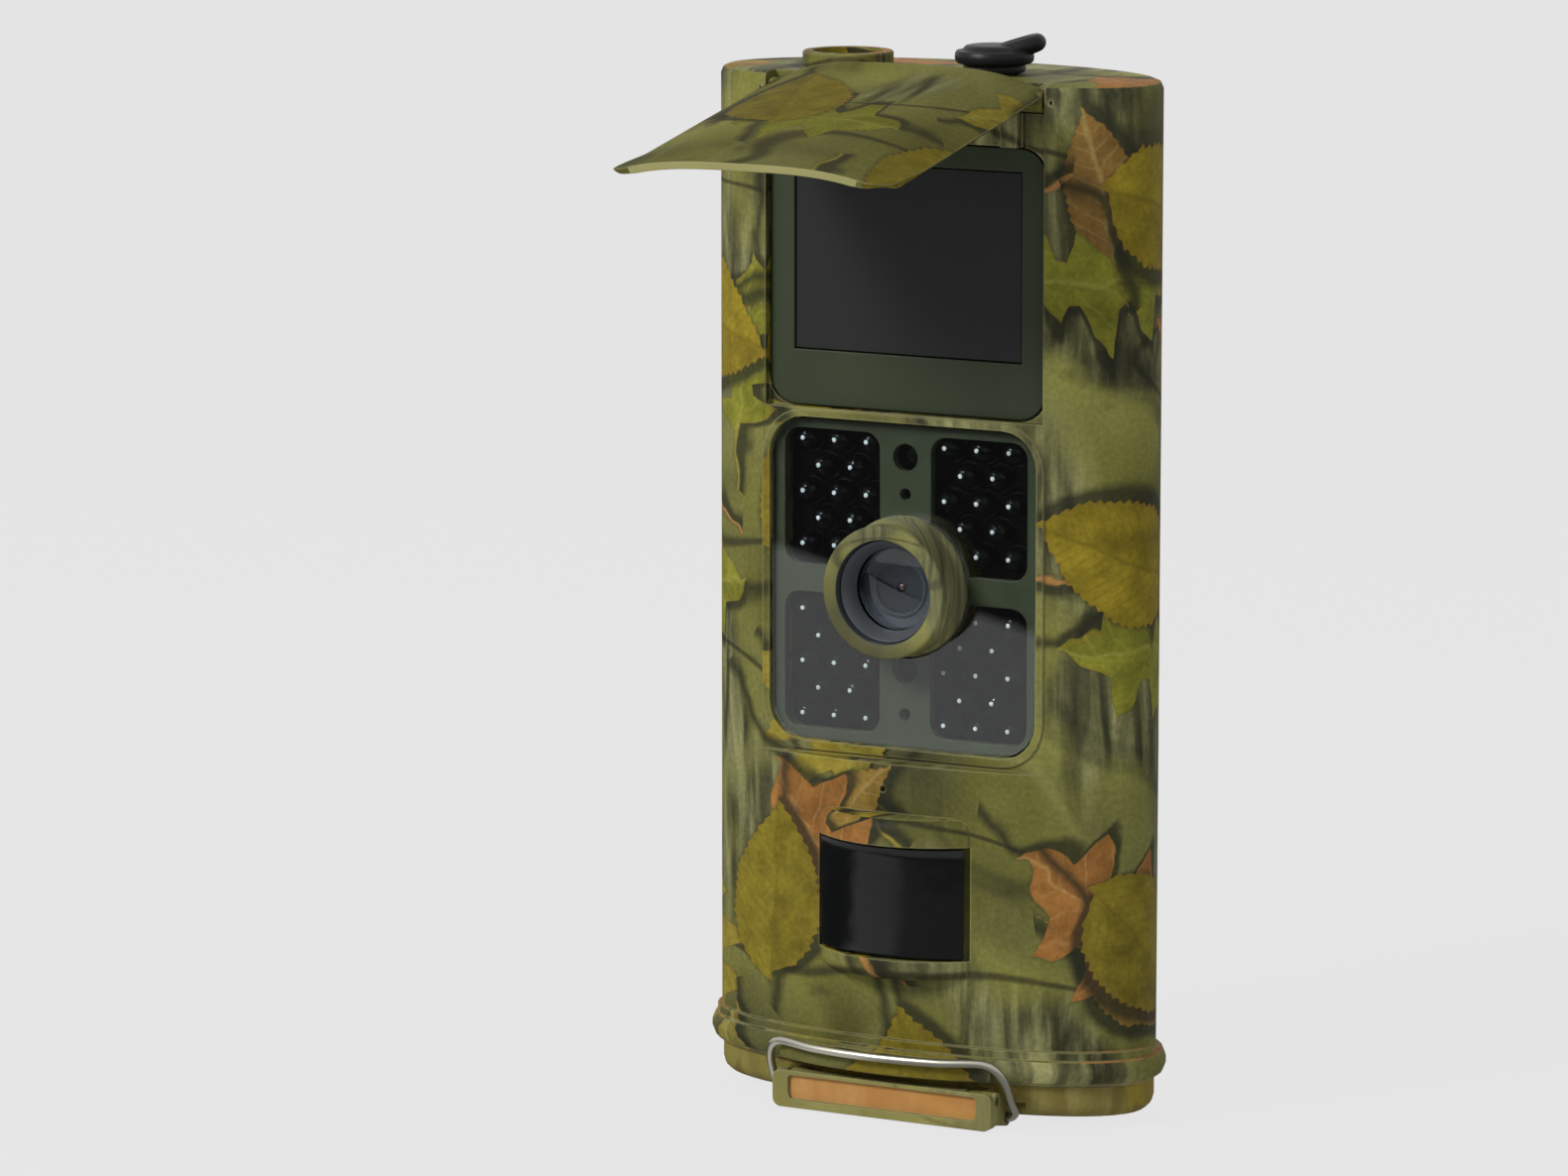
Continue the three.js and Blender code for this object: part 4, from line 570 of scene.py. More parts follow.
# Half width along each kind of leaf, as (share of its length, share of its width)
BROAD_LEAF = [(0, 0), (0.04, 0.1), (0.1, 0.5), (0.2, 0.82), (0.34, 0.99), (0.48, 1.0), (0.62, 0.88),
              (0.75, 0.66), (0.86, 0.4), (0.94, 0.18), (1, 0)]
OAK_LEAF = [(0, 0.035), (0.14, 0.05), (0.2, 0.44), (0.26, 0.6), (0.3, 0.3), (0.35, 0.26), (0.42, 0.82),
            (0.5, 1.0), (0.54, 0.42), (0.6, 0.32), (0.67, 0.74), (0.74, 0.84), (0.78, 0.36), (0.85, 0.3),
            (0.92, 0.22), (1, 0)]
SLIM_LEAF = [(0, 0.04), (0.1, 0.06), (0.16, 0.34), (0.3, 0.78), (0.44, 1.0), (0.58, 0.92), (0.72, 0.66),
             (0.84, 0.38), (0.93, 0.16), (1, 0)]

LEAVES = (
    {"outline": OAK_LEAF, "spacing": 51.0, "length": 37.0, "width": 13.5, "share": 0.5, "teeth": 0.0,
     "wobble": 7.0, "veins": 2.8, "colours": ("#767527", "#6c6d2b", "#83752a"), "rib": "#8d8a40",
     "shift": (13.0, 31.0, 0.0), "turn": 0.5},
    {"outline": SLIM_LEAF, "spacing": 43.0, "length": 30.0, "width": 7.5, "share": 0.34, "teeth": 0.5,
     "wobble": 4.0, "veins": 1.6, "colours": ("#83692f", "#75592c", "#7a7436"), "rib": "#9a8550",
     "shift": (5.0, 77.0, 0.0), "turn": 1.2},
    {"outline": OAK_LEAF, "spacing": 57.0, "length": 42.0, "width": 15.5, "share": 0.5, "teeth": 0.0,
     "wobble": 8.0, "veins": 3.0, "colours": ("#a0703a", "#9b6e3c", "#8e6130"), "rib": "#ab8652",
     "shift": (41.0, 9.0, 0.0), "turn": 0.15},
    {"outline": BROAD_LEAF, "spacing": 47.0, "length": 34.0, "width": 11.5, "share": 0.5, "teeth": 0.85,
     "wobble": 2.5, "veins": 1.1, "colours": ("#80701e", "#957b2c", "#776a20"), "rib": "#5f5415",
     "shift": (71.0, 5.0, 0.0), "turn": 0.85},
)


def camouflage_film(name, shift=(0.0, 0.0, 0.0), kinds=LEAVES, scale=1.0, bark_level=0.5,
                    wash=("#6e6d3a", 0.0), gloss=0.09):
    """Water-transfer camouflage film on moulded ABS: satin, printed with bark, moss, twigs and leaves.

    The wash draws the whole print towards one colour. Edges are paler, partly where the film is thin or
    rubbed and partly as a painted highlight where they catch the light.
    """
    material, tree, shader = new_material(name)
    node = partial(add_node, tree)
    film = node("UVMap", uv_map="film")
    start = node("Mapping", {"Vector": film, "Location": shift, "Scale": (scale, scale, scale)})
    broad = node("TexNoise", {
        "Vector": start, "Scale": 0.021, "Detail": 3.0, "Roughness": 0.45, "Distortion": 0.4})
    ground = ramped(tree, broad, ((0.3, "#3b391c"), (0.42, "#605e2c"), (0.52, "#787638"),
                                  (0.66, "#93914a")))
    drifted = noise_share(tree, {"Vector": start, "Scale": 0.036, "Detail": 2.0, "W": 3.0}, (0.45, 0.7),
                          (0.0, 0.3), noise_dimensions="4D")
    ground = node("Mix", {0: drifted, 6: ground, 7: linear("#5c5b4a")}, data_type="RGBA")

    stretched = node("Mapping", {"Vector": start, "Scale": (0.24, 0.035, 1.0)})
    bark = node("TexNoise", {"Vector": stretched, "Scale": 1.0, "Detail": 4.5,
                             "Roughness": 0.55, "Distortion": 0.6})
    barked = ramped(tree, bark, ((0.34, "#2a2a1e"), (0.46, "#4a4931"), (0.56, "#6c6b47"), (0.7, "#918f60")))
    bark_share = noise_share(tree, {"Vector": start, "Scale": 0.02, "Detail": 2.0},
                             (bark_level - 0.03, bark_level + 0.05), (0.05, 0.95), "SMOOTHSTEP")
    colour = node("Mix", {0: bark_share, 6: ground, 7: barked}, data_type="RGBA")

    for scales, level, thickness, tint, strength in (
        ((0.009, 0.024, 1.0), 0.5, 0.008, "#29261b", 0.75),
        ((0.022, 0.008, 1.0), 0.46, 0.014, "#8b8955", 0.22),
    ):
        laid = node("Mapping", {"Vector": start, "Scale": scales})
        field = node("TexNoise", {"Vector": laid, "Scale": 1.0, "Detail": 1.5, "Roughness": 0.3})
        gap = node("Math", [field, level], operation="SUBTRACT")
        size = node("Math", [gap], operation="ABSOLUTE")
        twig = node("MapRange", {
            "Value": size, "From Min": thickness, "From Max": thickness * 0.3, "To Max": strength})
        colour = node("Mix", {0: twig, 6: colour, 7: linear(tint)}, data_type="RGBA")

    dark_share = noise_share(tree, {"Vector": start, "Scale": 0.034, "Detail": 3.0, "Distortion": 0.8},
                             (0.58, 0.68), (0.0, 0.7))
    colour = node("Mix", {0: dark_share, 6: colour, 7: linear("#23241a")}, data_type="RGBA")
    for leaf in kinds:
        colour = leaf_layer(tree, start, colour, leaf)
    dotted = noise_share(tree, {"Vector": start, "Scale": 1.1, "Detail": 3.0}, (0.3, 0.7), (0.84, 1.12))
    printed = node("VectorMath", {0: colour, "Scale": dotted}, operation="SCALE")
    washed = node("Mix", {0: wash[1], 6: printed, 7: linear(wash[0])}, data_type="RGBA")
    # Paler edges: rubbed film, and a painted highlight along every edge
    here = node("NewGeometry")
    rounded = node("Bevel", {"Radius": 0.6 * MM}, samples=6)
    facing = node("VectorMath", [here.outputs["Normal"], rounded], operation="DOT_PRODUCT")
    rubbed_and_highlit = node("MapRange", {"Value": facing, "From Min": 0.96, "From Max": 0.82, "To Max": 0.45})
    worn_and_highlit = node("Mix", {0: rubbed_and_highlit, 6: washed, 7: linear("#a39c70")}, data_type="RGBA")
    tree.links.new(worn_and_highlit.outputs[2], shader.inputs["Base Color"])
    set_sockets(shader, Roughness=0.55, Specular_IOR_Level=gloss)
    grained(tree, shader, 0.8, 0.16)
    return material


def moulded_plastic(name, colour, roughness, grain_mm=0.6, strength=0.12, coat=0.0, variation=0.08,
                    gloss=0.25, relief_mm=0.05):
    """Injection-moulded plastic: one body colour that drifts slightly, with a fine grain from the mould."""
    material, tree, shader = new_material(name)
    noise = grained(tree, shader, grain_mm, strength, relief_mm)
    spot = noise.inputs["Vector"].links[0].from_socket
    tone = noise_share(tree, {"Vector": spot, "Scale": 60.0, "Detail": 3.0}, (0.3, 0.7),
                       (1 - variation, 1 + variation))
    shaded = add_node(tree, "VectorMath", {0: linear(colour)[:3], "Scale": tone}, operation="SCALE")
    tree.links.new(shaded.outputs[0], shader.inputs["Base Color"])
    set_sockets(shader, Roughness=roughness, Specular_IOR_Level=gloss, Coat_Weight=coat, Coat_Roughness=0.08)
    return material


def polished_metal(name, colour, roughness, scratch_mm=0.4):
    """Drawn or turned metal: bright, with fine drawing lines that vary its roughness."""
    material, tree, shader = new_material(name)
    noise = grained(tree, shader, scratch_mm, 0.0)
    spread = add_node(tree, "MapRange", {
        "Value": noise, "To Min": roughness * 0.85, "To Max": roughness * 1.15})
    tree.links.new(spread.outputs[0], shader.inputs["Roughness"])
    set_sockets(shader, Base_Color=linear(colour), Metallic=1.0)
    return material


def clear_sheet(name, tint, mirror):
    """Polished clear acrylic or glass: what is behind shows through, and it casts no shade."""
    material, tree, shader = new_material(name)
    spot = add_node(tree, "TexCoord")
    tone = noise_share(tree, {"Vector": spot.outputs["Object"], "Scale": 120.0, "Detail": 2.0}, (0.0, 1.0),
                       (0.97, 1.0))
    hazed = add_node(tree, "VectorMath", {0: linear(tint)[:3], "Scale": tone}, operation="SCALE")
    tree.links.new(hazed.outputs[0], shader.inputs["Base Color"])
    set_sockets(shader, Roughness=0.0, Transmission_Weight=1.0, IOR=1.49, Specular_IOR_Level=mirror)
    rays = add_node(tree, "LightPath")
    through = add_node(tree, "BsdfTransparent", {"Color": linear(tint)})
    shadowless = add_node(tree, "MixShader", [rays.outputs["Is Shadow Ray"], shader, through])
    show_surface(tree, shadowless)
    return material


def make_materials():
    """Every finish by its name.

    The film is satin, so that the print shows evenly, and its edges are painted paler, partly as rubbed
    film and partly as a painted highlight. Moulded ABS is half matt, with a soft highlight. Windows and
    lamp domes are smooth and dark, and mirror the room; a bright cup in each lamp is its silvered cup and
    a painted highlight. Rubber and keys are dull, with a broad highlight. Steel and brass are bright along
    their drawing lines. What lies behind the lens glass is blackened against stray light, and a small
    reddish dot in its middle is a painted reflection of the lens coating.
    """
    slim_only = LEAVES[1:2]
    no_orange = LEAVES[:2] + LEAVES[3:]
    return {
        "film": camouflage_film("ABS_with_leaf_film"),
        # The visor's copy is less glossy, and washed darker than the shell's film: the dark wash is painted
        # shade
        "film_visor": camouflage_film("ABS_visor_with_leaf_film_painted_darker", (0.0, 60.0, 0.0), no_orange,
                                      bark_level=0.56, wash=("#261f02", 0.38), gloss=0.02),
        "film_base": camouflage_film("ABS_base_with_leaf_film", (88.0, 47.0, 0.0), wash=("#8c7a38", 0.5)),
        "film_lever": camouflage_film("ABS_lever_with_bark_film", (60.0, 20.0, 0.0), slim_only, 1.6,
                                      wash=("#a39a5e", 0.38)),
        "film_lever_face": camouflage_film("ABS_lever_face_with_leaf_film", (33.0, 12.0, 0.0),
                                           wash=("#c48a4c", 0.7)),
        "film_barrel": camouflage_film("ABS_barrel_with_bark_film", (20.0, 90.0, 0.0), (), 1.9,
                                       wash=("#66654a", 0.35)),
        "olive": moulded_plastic("Moulded_olive_ABS", "#2f3724", 0.42),
        "olive_mask": moulded_plastic("Moulded_olive_ABS_mask", "#343a28", 0.5),
        "black": moulded_plastic("Moulded_black_ABS", "#0f1012", 0.4),
        "well": moulded_plastic("Black_solder_mask_board", "#040404", 0.7, strength=0.0, gloss=0.04),
        "screen": moulded_plastic("Smoked_polycarbonate_window", "#252625", 0.3, 0.4, 0.0, variation=0.04),
        "sensor": moulded_plastic("Black_polyethylene_sensor_window", "#0a0b0c", 0.18, 11.0, 1.0, coat=0.15,
                                  relief_mm=0.5),
        "lamp": moulded_plastic("Dark_epoxy_lamp_dome", "#020203", 0.1, 0.5, 0.0, gloss=0.12),
        "grey": moulded_plastic("Anodised_grey_ring", "#44474a", 0.42, strength=0.04),
        "key": moulded_plastic("Silicone_key", "#3c3f42", 0.6),
        "rubber": moulded_plastic("Moulded_black_rubber", "#121314", 0.4, 0.35, 0.12, gloss=0.2),
        "board": moulded_plastic("Green_solder_mask", "#1d4d2b", 0.35, 0.5, 0.1),
        "cell": moulded_plastic("Shrink_sleeve_of_cell", "#3a3f46", 0.3),
        "steel": polished_metal("Bright_drawn_steel", "#b4b2a4", 0.34),
        "brass": polished_metal("Turned_brass", "#b9923f", 0.28),
        "bore": moulded_plastic("Blackened_lens_bore", "#33363a", 0.5, 0.3, 0.06),
        "iris": moulded_plastic("Blackened_lens_stops", "#262a2e", 0.5, 0.3, 0.0),
        # Bright cup in each lamp: silvered, and a painted highlight where the light glints
        "highlight_cup": moulded_plastic("Silvered_cup_and_painted_highlight_in_lamp", "#c9ced6", 0.4, 0.5, 0.0),
        # Small reddish dot in the lens: a painted reflection of its coating
        "glint": moulded_plastic("Painted_coating_reflection_in_lens", "#7d4a3c", 0.15, 0.3, 0.0, coat=1.0),
        "clear": clear_sheet("Clear_acrylic_cover", "#e4e9e8", 0.2),
        "optic": clear_sheet("Coated_lens_glass", "#cfd6dc", 0.0),
        "edge": moulded_plastic("Bare_edge_of_ABS", "#8d8856", 0.5),
    }


SLOT_FINISH = {
    "camouflage_plastic": "film", "dark_olive_plastic": "olive", "clear_plastic": "clear",
    "tinted_window": "screen", "sensor_window_plastic": "sensor", "lens_glass": "optic",
    "grey_plastic": "grey", "black_plastic": "black", "circuit_board": "board", "bright_steel": "steel",
    "brass_plate": "brass", "black_rubber": "rubber", "cell_jacket": "cell",
}

finishes = {}


# Settings


class HousingSettings(bpy.types.PropertyGroup):
    """Finish of the housing."""

    smooth_angle: bpy.props.FloatProperty(
        name="Smooth angle", description="Edges flatter than this, in degrees, are shaded smooth",
        default=SMOOTH_ANGLE, min=0.0, max=180.0)
    edge_radius: bpy.props.FloatProperty(
        name="Edge radius", description="How far moulded edges are softly rounded", default=0.35 * MM,
        unit="LENGTH", min=0.0)


class VisorSettings(bpy.types.PropertyGroup):
    """Sizes of the visor."""

    rows: bpy.props.IntProperty(name="Rows", description="Rows of faces along the visor", default=60, min=8)
    columns: bpy.props.IntProperty(name="Columns", description="Columns of faces across", default=64, min=8)


class LampSettings(bpy.types.PropertyGroup):
    """Sizes of the lamps."""

    radius: bpy.props.FloatProperty(
        name="Radius", description="Radius of a lamp's dome", default=LAMP_RADIUS * MM, unit="LENGTH",
        min=0.0005)


class StageSettings(bpy.types.PropertyGroup):
    """Floor and background."""

    floor_colour: bpy.props.FloatVectorProperty(
        name="Floor colour", description="Colour of the floor and the background", subtype="COLOR", size=3,
        default=linear("#e6e6e6")[:3], min=0.0, max=1.0)


# Pieces


class DressFrame(bpy.types.Operator):
    """Gives every node of the frame that stays in view its finish"""

    bl_idname = "trail_camera.dress_frame"
    bl_label = "Finish the frame"

    def execute(self, context):
        finishes.update(make_materials())
        slots = {row["node"]: row["material_slot"] for row in frame["record"]["subparts"]}
        for name, node in frame["nodes"].items():
            node.data.materials.clear()
            node.data.materials.append(finishes[SLOT_FINISH[slots[name]]])
        for name in ("key_menu", "key_up", "key_down", "key_left", "key_right", "key_ok"):
            frame["nodes"][name].data.materials[0] = finishes["key"]
        frame["nodes"]["lamp_mask"].data.materials[0] = finishes["olive_mask"]
        return {"FINISHED"}


class AddShells(bpy.types.Operator):
    """Adds the smooth shells, base cover and bracket, each a merged copy of its node with the film on it"""

    bl_idname = "trail_camera.add_shells"
    bl_label = "Add shells"

    def execute(self, context):
        for node, finish, body in (
            ("front_shell", "film", "housing"),
            ("rear_shell", "film", "housing"),
            ("strap_bracket", "film", "housing"),
            ("base_cover", "film_base", "base"),
        ):
            name = node + "_skin"
            place(name, build_mesh(name, *merged_copy(node)), finish, body, "camouflage_plastic", (node,))
        return {"FINISHED"}


class AddLever(bpy.types.Operator):
    """Adds the latch lever, a merged copy of its node with the sunk face drawn down and its own film"""

    bl_idname = "trail_camera.add_lever"
    bl_label = "Add lever"

    def execute(self, context):
        points, faces = merged_copy("latch_lever")
        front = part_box("latch_lever")[0][1]
        depth, height = points[:, 1] - front, points[:, 2] / MM
        dish = (depth < RECESS_EDGE_DEPTH * MM) & (np.abs(points[:, 0]) < RECESS_HALF_WIDTH * MM)
        dish &= (height > RECESS_LOW - 0.01) & (height < RECESS_HIGH + 0.01)
        centre = (RECESS_LOW + RECESS_HIGH) / 2
        deeper = (centre - RECESS_REACH) / (centre - RECESS_LOW)
        lower = dish & (height < centre)
        points[lower, 2] = (centre - (centre - height[lower]) * deeper) * MM
        middle = points[faces].mean(axis=1)
        a, b, c = (points[faces[:, k]] for k in range(3))
        spans = np.cross(b - a, c - a)
        faces_front = spans[:, 1] < -0.9 * np.linalg.norm(spans, axis=1)
        behind = (middle[:, 1] - front) / MM
        sunk = (behind > RECESS_DEPTH_FROM) & (behind < RECESS_DEPTH_TO)
        mesh = build_mesh("latch_lever_skin", points, faces, finish_index=faces_front & sunk)
        place("latch_lever_skin", mesh, "film_lever film_lever_face", "lever", "camouflage_plastic",
              ("latch_lever",))
        return {"FINISHED"}


class AddVisor(bpy.types.Operator):
    """Adds the visor: an arched plate with rounded free corners and a thin free edge"""

    bl_idname = "trail_camera.add_visor"
    bl_label = "Add visor"

    def execute(self, context):
        settings = context.scene.trail_camera_visor
        points, faces, film, bare = visor_surface(settings.rows, settings.columns)
        droop = math.radians(VISOR_DROOP)
        depth, height = points[:, 1].copy(), points[:, 2].copy()
        points[:, 1] = VISOR_PIVOT[0] + depth * math.cos(droop) - height * math.sin(droop)
        points[:, 2] = VISOR_PIVOT[1] + depth * math.sin(droop) + height * math.cos(droop)
        add_piece("visor_skin", (points, faces), "film_visor edge", "visor", "camouflage_plastic",
                  ("visor_lid",), film, bare)
        return {"FINISHED"}


def visor_height(x, half, rise):
    """Height of an arched plate above its edge: rise times one less the share across to a power."""
    return VISOR_BASE + rise * (1 - np.clip(np.abs(x / half), 0, 1) ** VISOR_SQUARENESS)


def share_along(along, start, length):
    """How far each row has come from a start over a length, from nought to one, as a column."""
    return np.clip((along - start) / length, 0, 1)[:, None]


def visor_surface(rows, columns):
    """Rows along the visor, each a closed loop: the outer face from left to right, then the inner one back.

    The outline keeps its half width and then follows a quarter circle at the free corners. Both faces are
    arches of the same power, the inner one lower by the wall. Towards the free end the outer arch widens past
    the outline, so that the corners stand clear of the shell when the visor is shut, and the inner one steps
    up over the lamp panel's rim. Behind the hinge line the outer face swells by half a sine wave.
    """
    front = VISOR_LENGTH - VISOR_CORNER
    straight = np.linspace(-VISOR_TAIL, front, rows * 2 // 3)
    bend = np.linspace(0, np.pi / 2, rows // 3)[1:]
    along = np.concatenate([straight, front + VISOR_CORNER * np.sin(bend)])
    half = np.concatenate([straight * 0 + VISOR_HALF_WIDTH,
                           VISOR_HALF_WIDTH - VISOR_CORNER * (1 - np.cos(bend))])
    across = -np.cos(np.linspace(0, np.pi, columns))
    x_out = half[:, None] * across[None]
    x_in = (half[:, None] - VISOR_SIDE_SETBACK) * across[None, ::-1]
    near_front = share_along(along, VISOR_LENGTH - 16, 12)
    widened = VISOR_HALF_WIDTH + VISOR_SPREAD * near_front**2 * (3 - 2 * near_front)
    outer = VISOR_LIP + visor_height(x_out, widened, VISOR_ARCH)
    inner = visor_height(x_in, VISOR_HALF_WIDTH - VISOR_THICKNESS, VISOR_ARCH + VISOR_LIP - VISOR_THICKNESS)
    inner = np.maximum(inner, VISOR_END_STEP * share_along(along, VISOR_LENGTH - 5.6, 1.5))
    inner = np.minimum(inner, outer[:, ::-1] - VISOR_LEAST_WALL)
    spare_wall = np.clip(outer[:, ::-1] - inner - 2 * VISOR_LEAST_WALL, 0, 1)
    inner += share_along(along, VISOR_LENGTH - 9, 9) ** 2 * 0.5 * spare_wall
    roof = 1 - share_along(along, -VISOR_TAIL, 5.0)
    outer += 0.5 * np.sin(roof * np.pi) * (1 - np.abs(across) ** 4)
    x = np.concatenate([x_out, x_in], axis=1)
    height = np.concatenate([outer, inner], axis=1)
    loop = columns * 2
    y = -np.repeat(along[:, None], loop, axis=1)
    points = np.stack([x, y, height], axis=-1).reshape(-1, 3)
    film = np.stack([x.ravel(), -y.ravel()], axis=1)
    faces = grid(len(along), loop, close_columns=True)[:, ::-1].tolist()
    bare = [0] * len(faces)
    for row, turn in ((0, 1), (len(along) - 1, -1)):
        ends = end_faces(row * loop, columns, turn)
        faces += ends
        bare += [int(row > 0)] * len(ends)
    return points, faces, film, bare


class AddVisorHinge(bpy.types.Operator):
    """Adds the barrel of the visor's hinge, in the three lengths between and beside the posts"""

    bl_idname = "trail_camera.add_visor_hinge"
    bl_label = "Add visor hinge"

    def execute(self, context):
        pieces = []
        turn = np.linspace(0, 2 * np.pi, BARREL_SIDES, endpoint=False)
        slim = BARREL_RADIUS - 0.3
        radius = np.array([slim, BARREL_RADIUS, BARREL_RADIUS, slim])[:, None]
        for left, right in BARREL_LENGTHS:
            x = np.repeat(np.array([left, left + 0.3, right - 0.3, right])[:, None], BARREL_SIDES, axis=1)
            y = VISOR_PIVOT[0] + radius * np.cos(turn)
            z = VISOR_PIVOT[1] + radius * np.sin(turn)
            points = np.stack([x, y, z], axis=-1).reshape(-1, 3)
            faces = grid(4, BARREL_SIDES, close_columns=True).tolist()
            faces.append(list(range(BARREL_SIDES))[::-1])
            faces.append(list(range(3 * BARREL_SIDES, 4 * BARREL_SIDES)))
            pieces.append(facing_out(points, faces))
        add_piece("visor_barrel", joined(pieces), "film_visor", "visor", "camouflage_plastic")
        return {"FINISHED"}


class AddLamps(bpy.types.Operator):
    """Adds the lamp board with its rows of domed lamps, and the sensors in the middle strip"""

    bl_idname = "trail_camera.add_lamps"
    bl_label = "Add lamps"

    def execute(self, context):
        radius = context.scene.trail_camera_lamps.radius / MM
        plate = pierced_plate(PANEL_HALF_WIDTH, PANEL_HALF_HEIGHT, PANEL_CORNER, BOARD_HOLE, BOARD_FRONT,
                              BOARD_BACK, 160)
        add_piece("lamp_board_plate", plate, "well", "housing", "circuit_board", ("lamp_board",))
        arc = np.linspace(0, np.pi / 2, 8)
        dome = [(radius * math.sin(a), 1.72 + radius * 0.85 * (1 - math.cos(a))) for a in arc]
        dome += [(radius, 5.2), (radius + 0.28, 5.25), (radius + 0.28, 5.75), (0, 5.75)]
        # The bright cup sits up and to the left in every lamp, where the light glints: a painted highlight
        highlight_cup = [(0, 1.66), (0.3, 1.68), (HIGHLIGHT_CUP_RADIUS, 1.74), (HIGHLIGHT_CUP_RADIUS, 1.84), (0, 1.84)]
        parts, highlight_cups = [], []
        for row, column in np.ndindex(LAMP_ROWS, LAMP_ROWS):
            if (row + column) % 2 or row + column == 0:
                continue
            for side_x, side_z in ((-1, -1), (-1, 1), (1, -1), (1, 1)):
                x = side_x * (LAMP_FIRST[0] + LAMP_STEP[0] * column)
                z = PANEL_MIDDLE + side_z * (LAMP_FIRST[1] + LAMP_STEP[1] * row)
                parts.append(turned(dome, 24, (x, 0, z)))
                highlight_cups.append(turned(highlight_cup, 12, (x - HIGHLIGHT_CUP_ASIDE, 0, z + HIGHLIGHT_CUP_ASIDE)))
        for share, size in STUBS:
            stub = [(size * math.sin(a), 3.3 + size * 0.5 * (1 - math.cos(a))) for a in arc]
            stub += [(size, 5.75), (0, 5.75)]
            parts.append(turned(stub, 24, (0, 0, PANEL_MIDDLE + share * PANEL_HALF_HEIGHT)))
        add_piece("lamp_domes", joined(parts), "lamp", "housing", "black_plastic")
        add_piece("lamp_highlight_cups", joined(highlight_cups), "highlight_cup", "housing", "black_plastic")
        return {"FINISHED"}


class AddLens(bpy.types.Operator):
    """Adds the lens: its barrel, the retaining ring, the domed front glass and the blackened stops"""

    bl_idname = "trail_camera.add_lens"
    bl_label = "Add lens"

    def execute(self, context):
        middle = (0, 0, PANEL_MIDDLE)
        edge = np.linspace(0, np.pi / 2, 7)
        barrel = [(9.3, -2.6), (9.3, -7.0), (9.45, -7.5), (9.75, -LENS_REACH)]
        barrel += [(11.45 + 0.6 * math.sin(a), -LENS_REACH + 0.6 * (1 - math.cos(a))) for a in edge]
        barrel += [(12.05, -1.3), (12.15, -0.6), (12.55, -0.1), (12.7, 0.4), (12.7, 1.2), (12.05, 1.25),
                   (11.4, 1.3), (11.4, 8.3), (9.3, 8.3)]
        points, faces = turned(barrel, LENS_SIDES, middle, ring=True)
        film = np.stack([points[:, 0] + points[:, 1], points[:, 2] - points[:, 1]], axis=1)
        add_piece("lens_barrel_skin", (points, faces), "film_barrel bore", "housing", "camouflage_plastic",
                  ("lens_barrel",), film, within(points, faces, 9.5))

        ring = [(8.85, -3.15), (9.2, -3.6), (9.2, -6.1), (9.05, -6.3), (8.8, -6.15), (7.5, -3.7),
                (7.4, -3.15)]
        add_piece("lens_retainer_skin", turned(ring, LENS_SIDES, middle, ring=True), "grey", "housing",
                  "grey_plastic", ("lens_retainer",))

        dome = [(7.35 * share, -2.84 + 0.55 * share**2) for share in np.linspace(0, 1, 12)]
        dome += [(7.35, -0.98), (0, -0.98)]
        add_piece("lens_glass_skin", turned(dome, LENS_SIDES, middle), "optic", "housing", "lens_glass",
                  ("lens_front_glass",))

        stops = [(0, 8.3), (7.35, 8.3), (7.35, -0.75), (6.3, -0.5), (5.3, -0.3), (5.2, -0.6), (4.75, -0.6),
                 (4.6, -0.2), (4.5, 0.3), (1.0, 0.5), (0.9, 1.2), (0, 1.2)]
        points, faces = turned(stops, LENS_SIDES, middle)
        add_piece("lens_stops", (points, faces), "grey iris", "housing", "black_plastic", ("lens_cell",),
                  finish_index=within(points, faces, 4.65))

        # A small reddish dot in the lens's middle: a painted reflection of the lens coating
        reflection_dot = [(0, 0.3), (0.3, 0.33), (0.5, 0.45), (0.5, 1.15), (0, 1.15)]
        add_piece("lens_reflection_dot", turned(reflection_dot, 24, middle), "glint", "housing", "lens_glass")
        return {"FINISHED"}


def within(points, faces, radius):
    """Tells for each face whether all of it lies within a radius of the lens axis."""
    reach = np.hypot(points[:, 0], points[:, 2] - PANEL_MIDDLE)
    return np.array([reach[face].max() < radius for face in faces])


class AddSensorWindow(bpy.types.Operator):
    """Adds the motion sensor's bowed window: a thin pane on an arc, with rounded top and bottom edges"""

    bl_idname = "trail_camera.add_sensor_window"
    bl_label = "Add sensor window"

    def execute(self, context):
        low, high = (corner[2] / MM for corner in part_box("sensor_window"))
        rise = PANE_FRONT - PANE_SIDE
        radius = (PANE_HALF_WIDTH**2 + rise**2) / (2 * rise)
        swing = np.linspace(-1, 1, 65) * math.asin((PANE_HALF_WIDTH - 0.01) / radius)
        outer, inner = (
            np.stack([reach * np.sin(swing), radius - PANE_FRONT - reach * np.cos(swing)], axis=1)
            for reach in (radius, radius - PANE_THICKNESS)
        )
        levels = [(low, 0.3), (low + 0.1, 0.12), (low + 0.3, 0.0)]
        levels += [(spot, 0.0) for spot in np.linspace(low + 2, high - 2, 9)]
        levels += [(high - 0.3, 0.0), (high - 0.1, 0.12), (high, 0.3)]
        add_piece("sensor_window_skin", band(outer, inner, levels, 2), "sensor", "housing",
                  "sensor_window_plastic", ("sensor_window",))
        return {"FINISHED"}


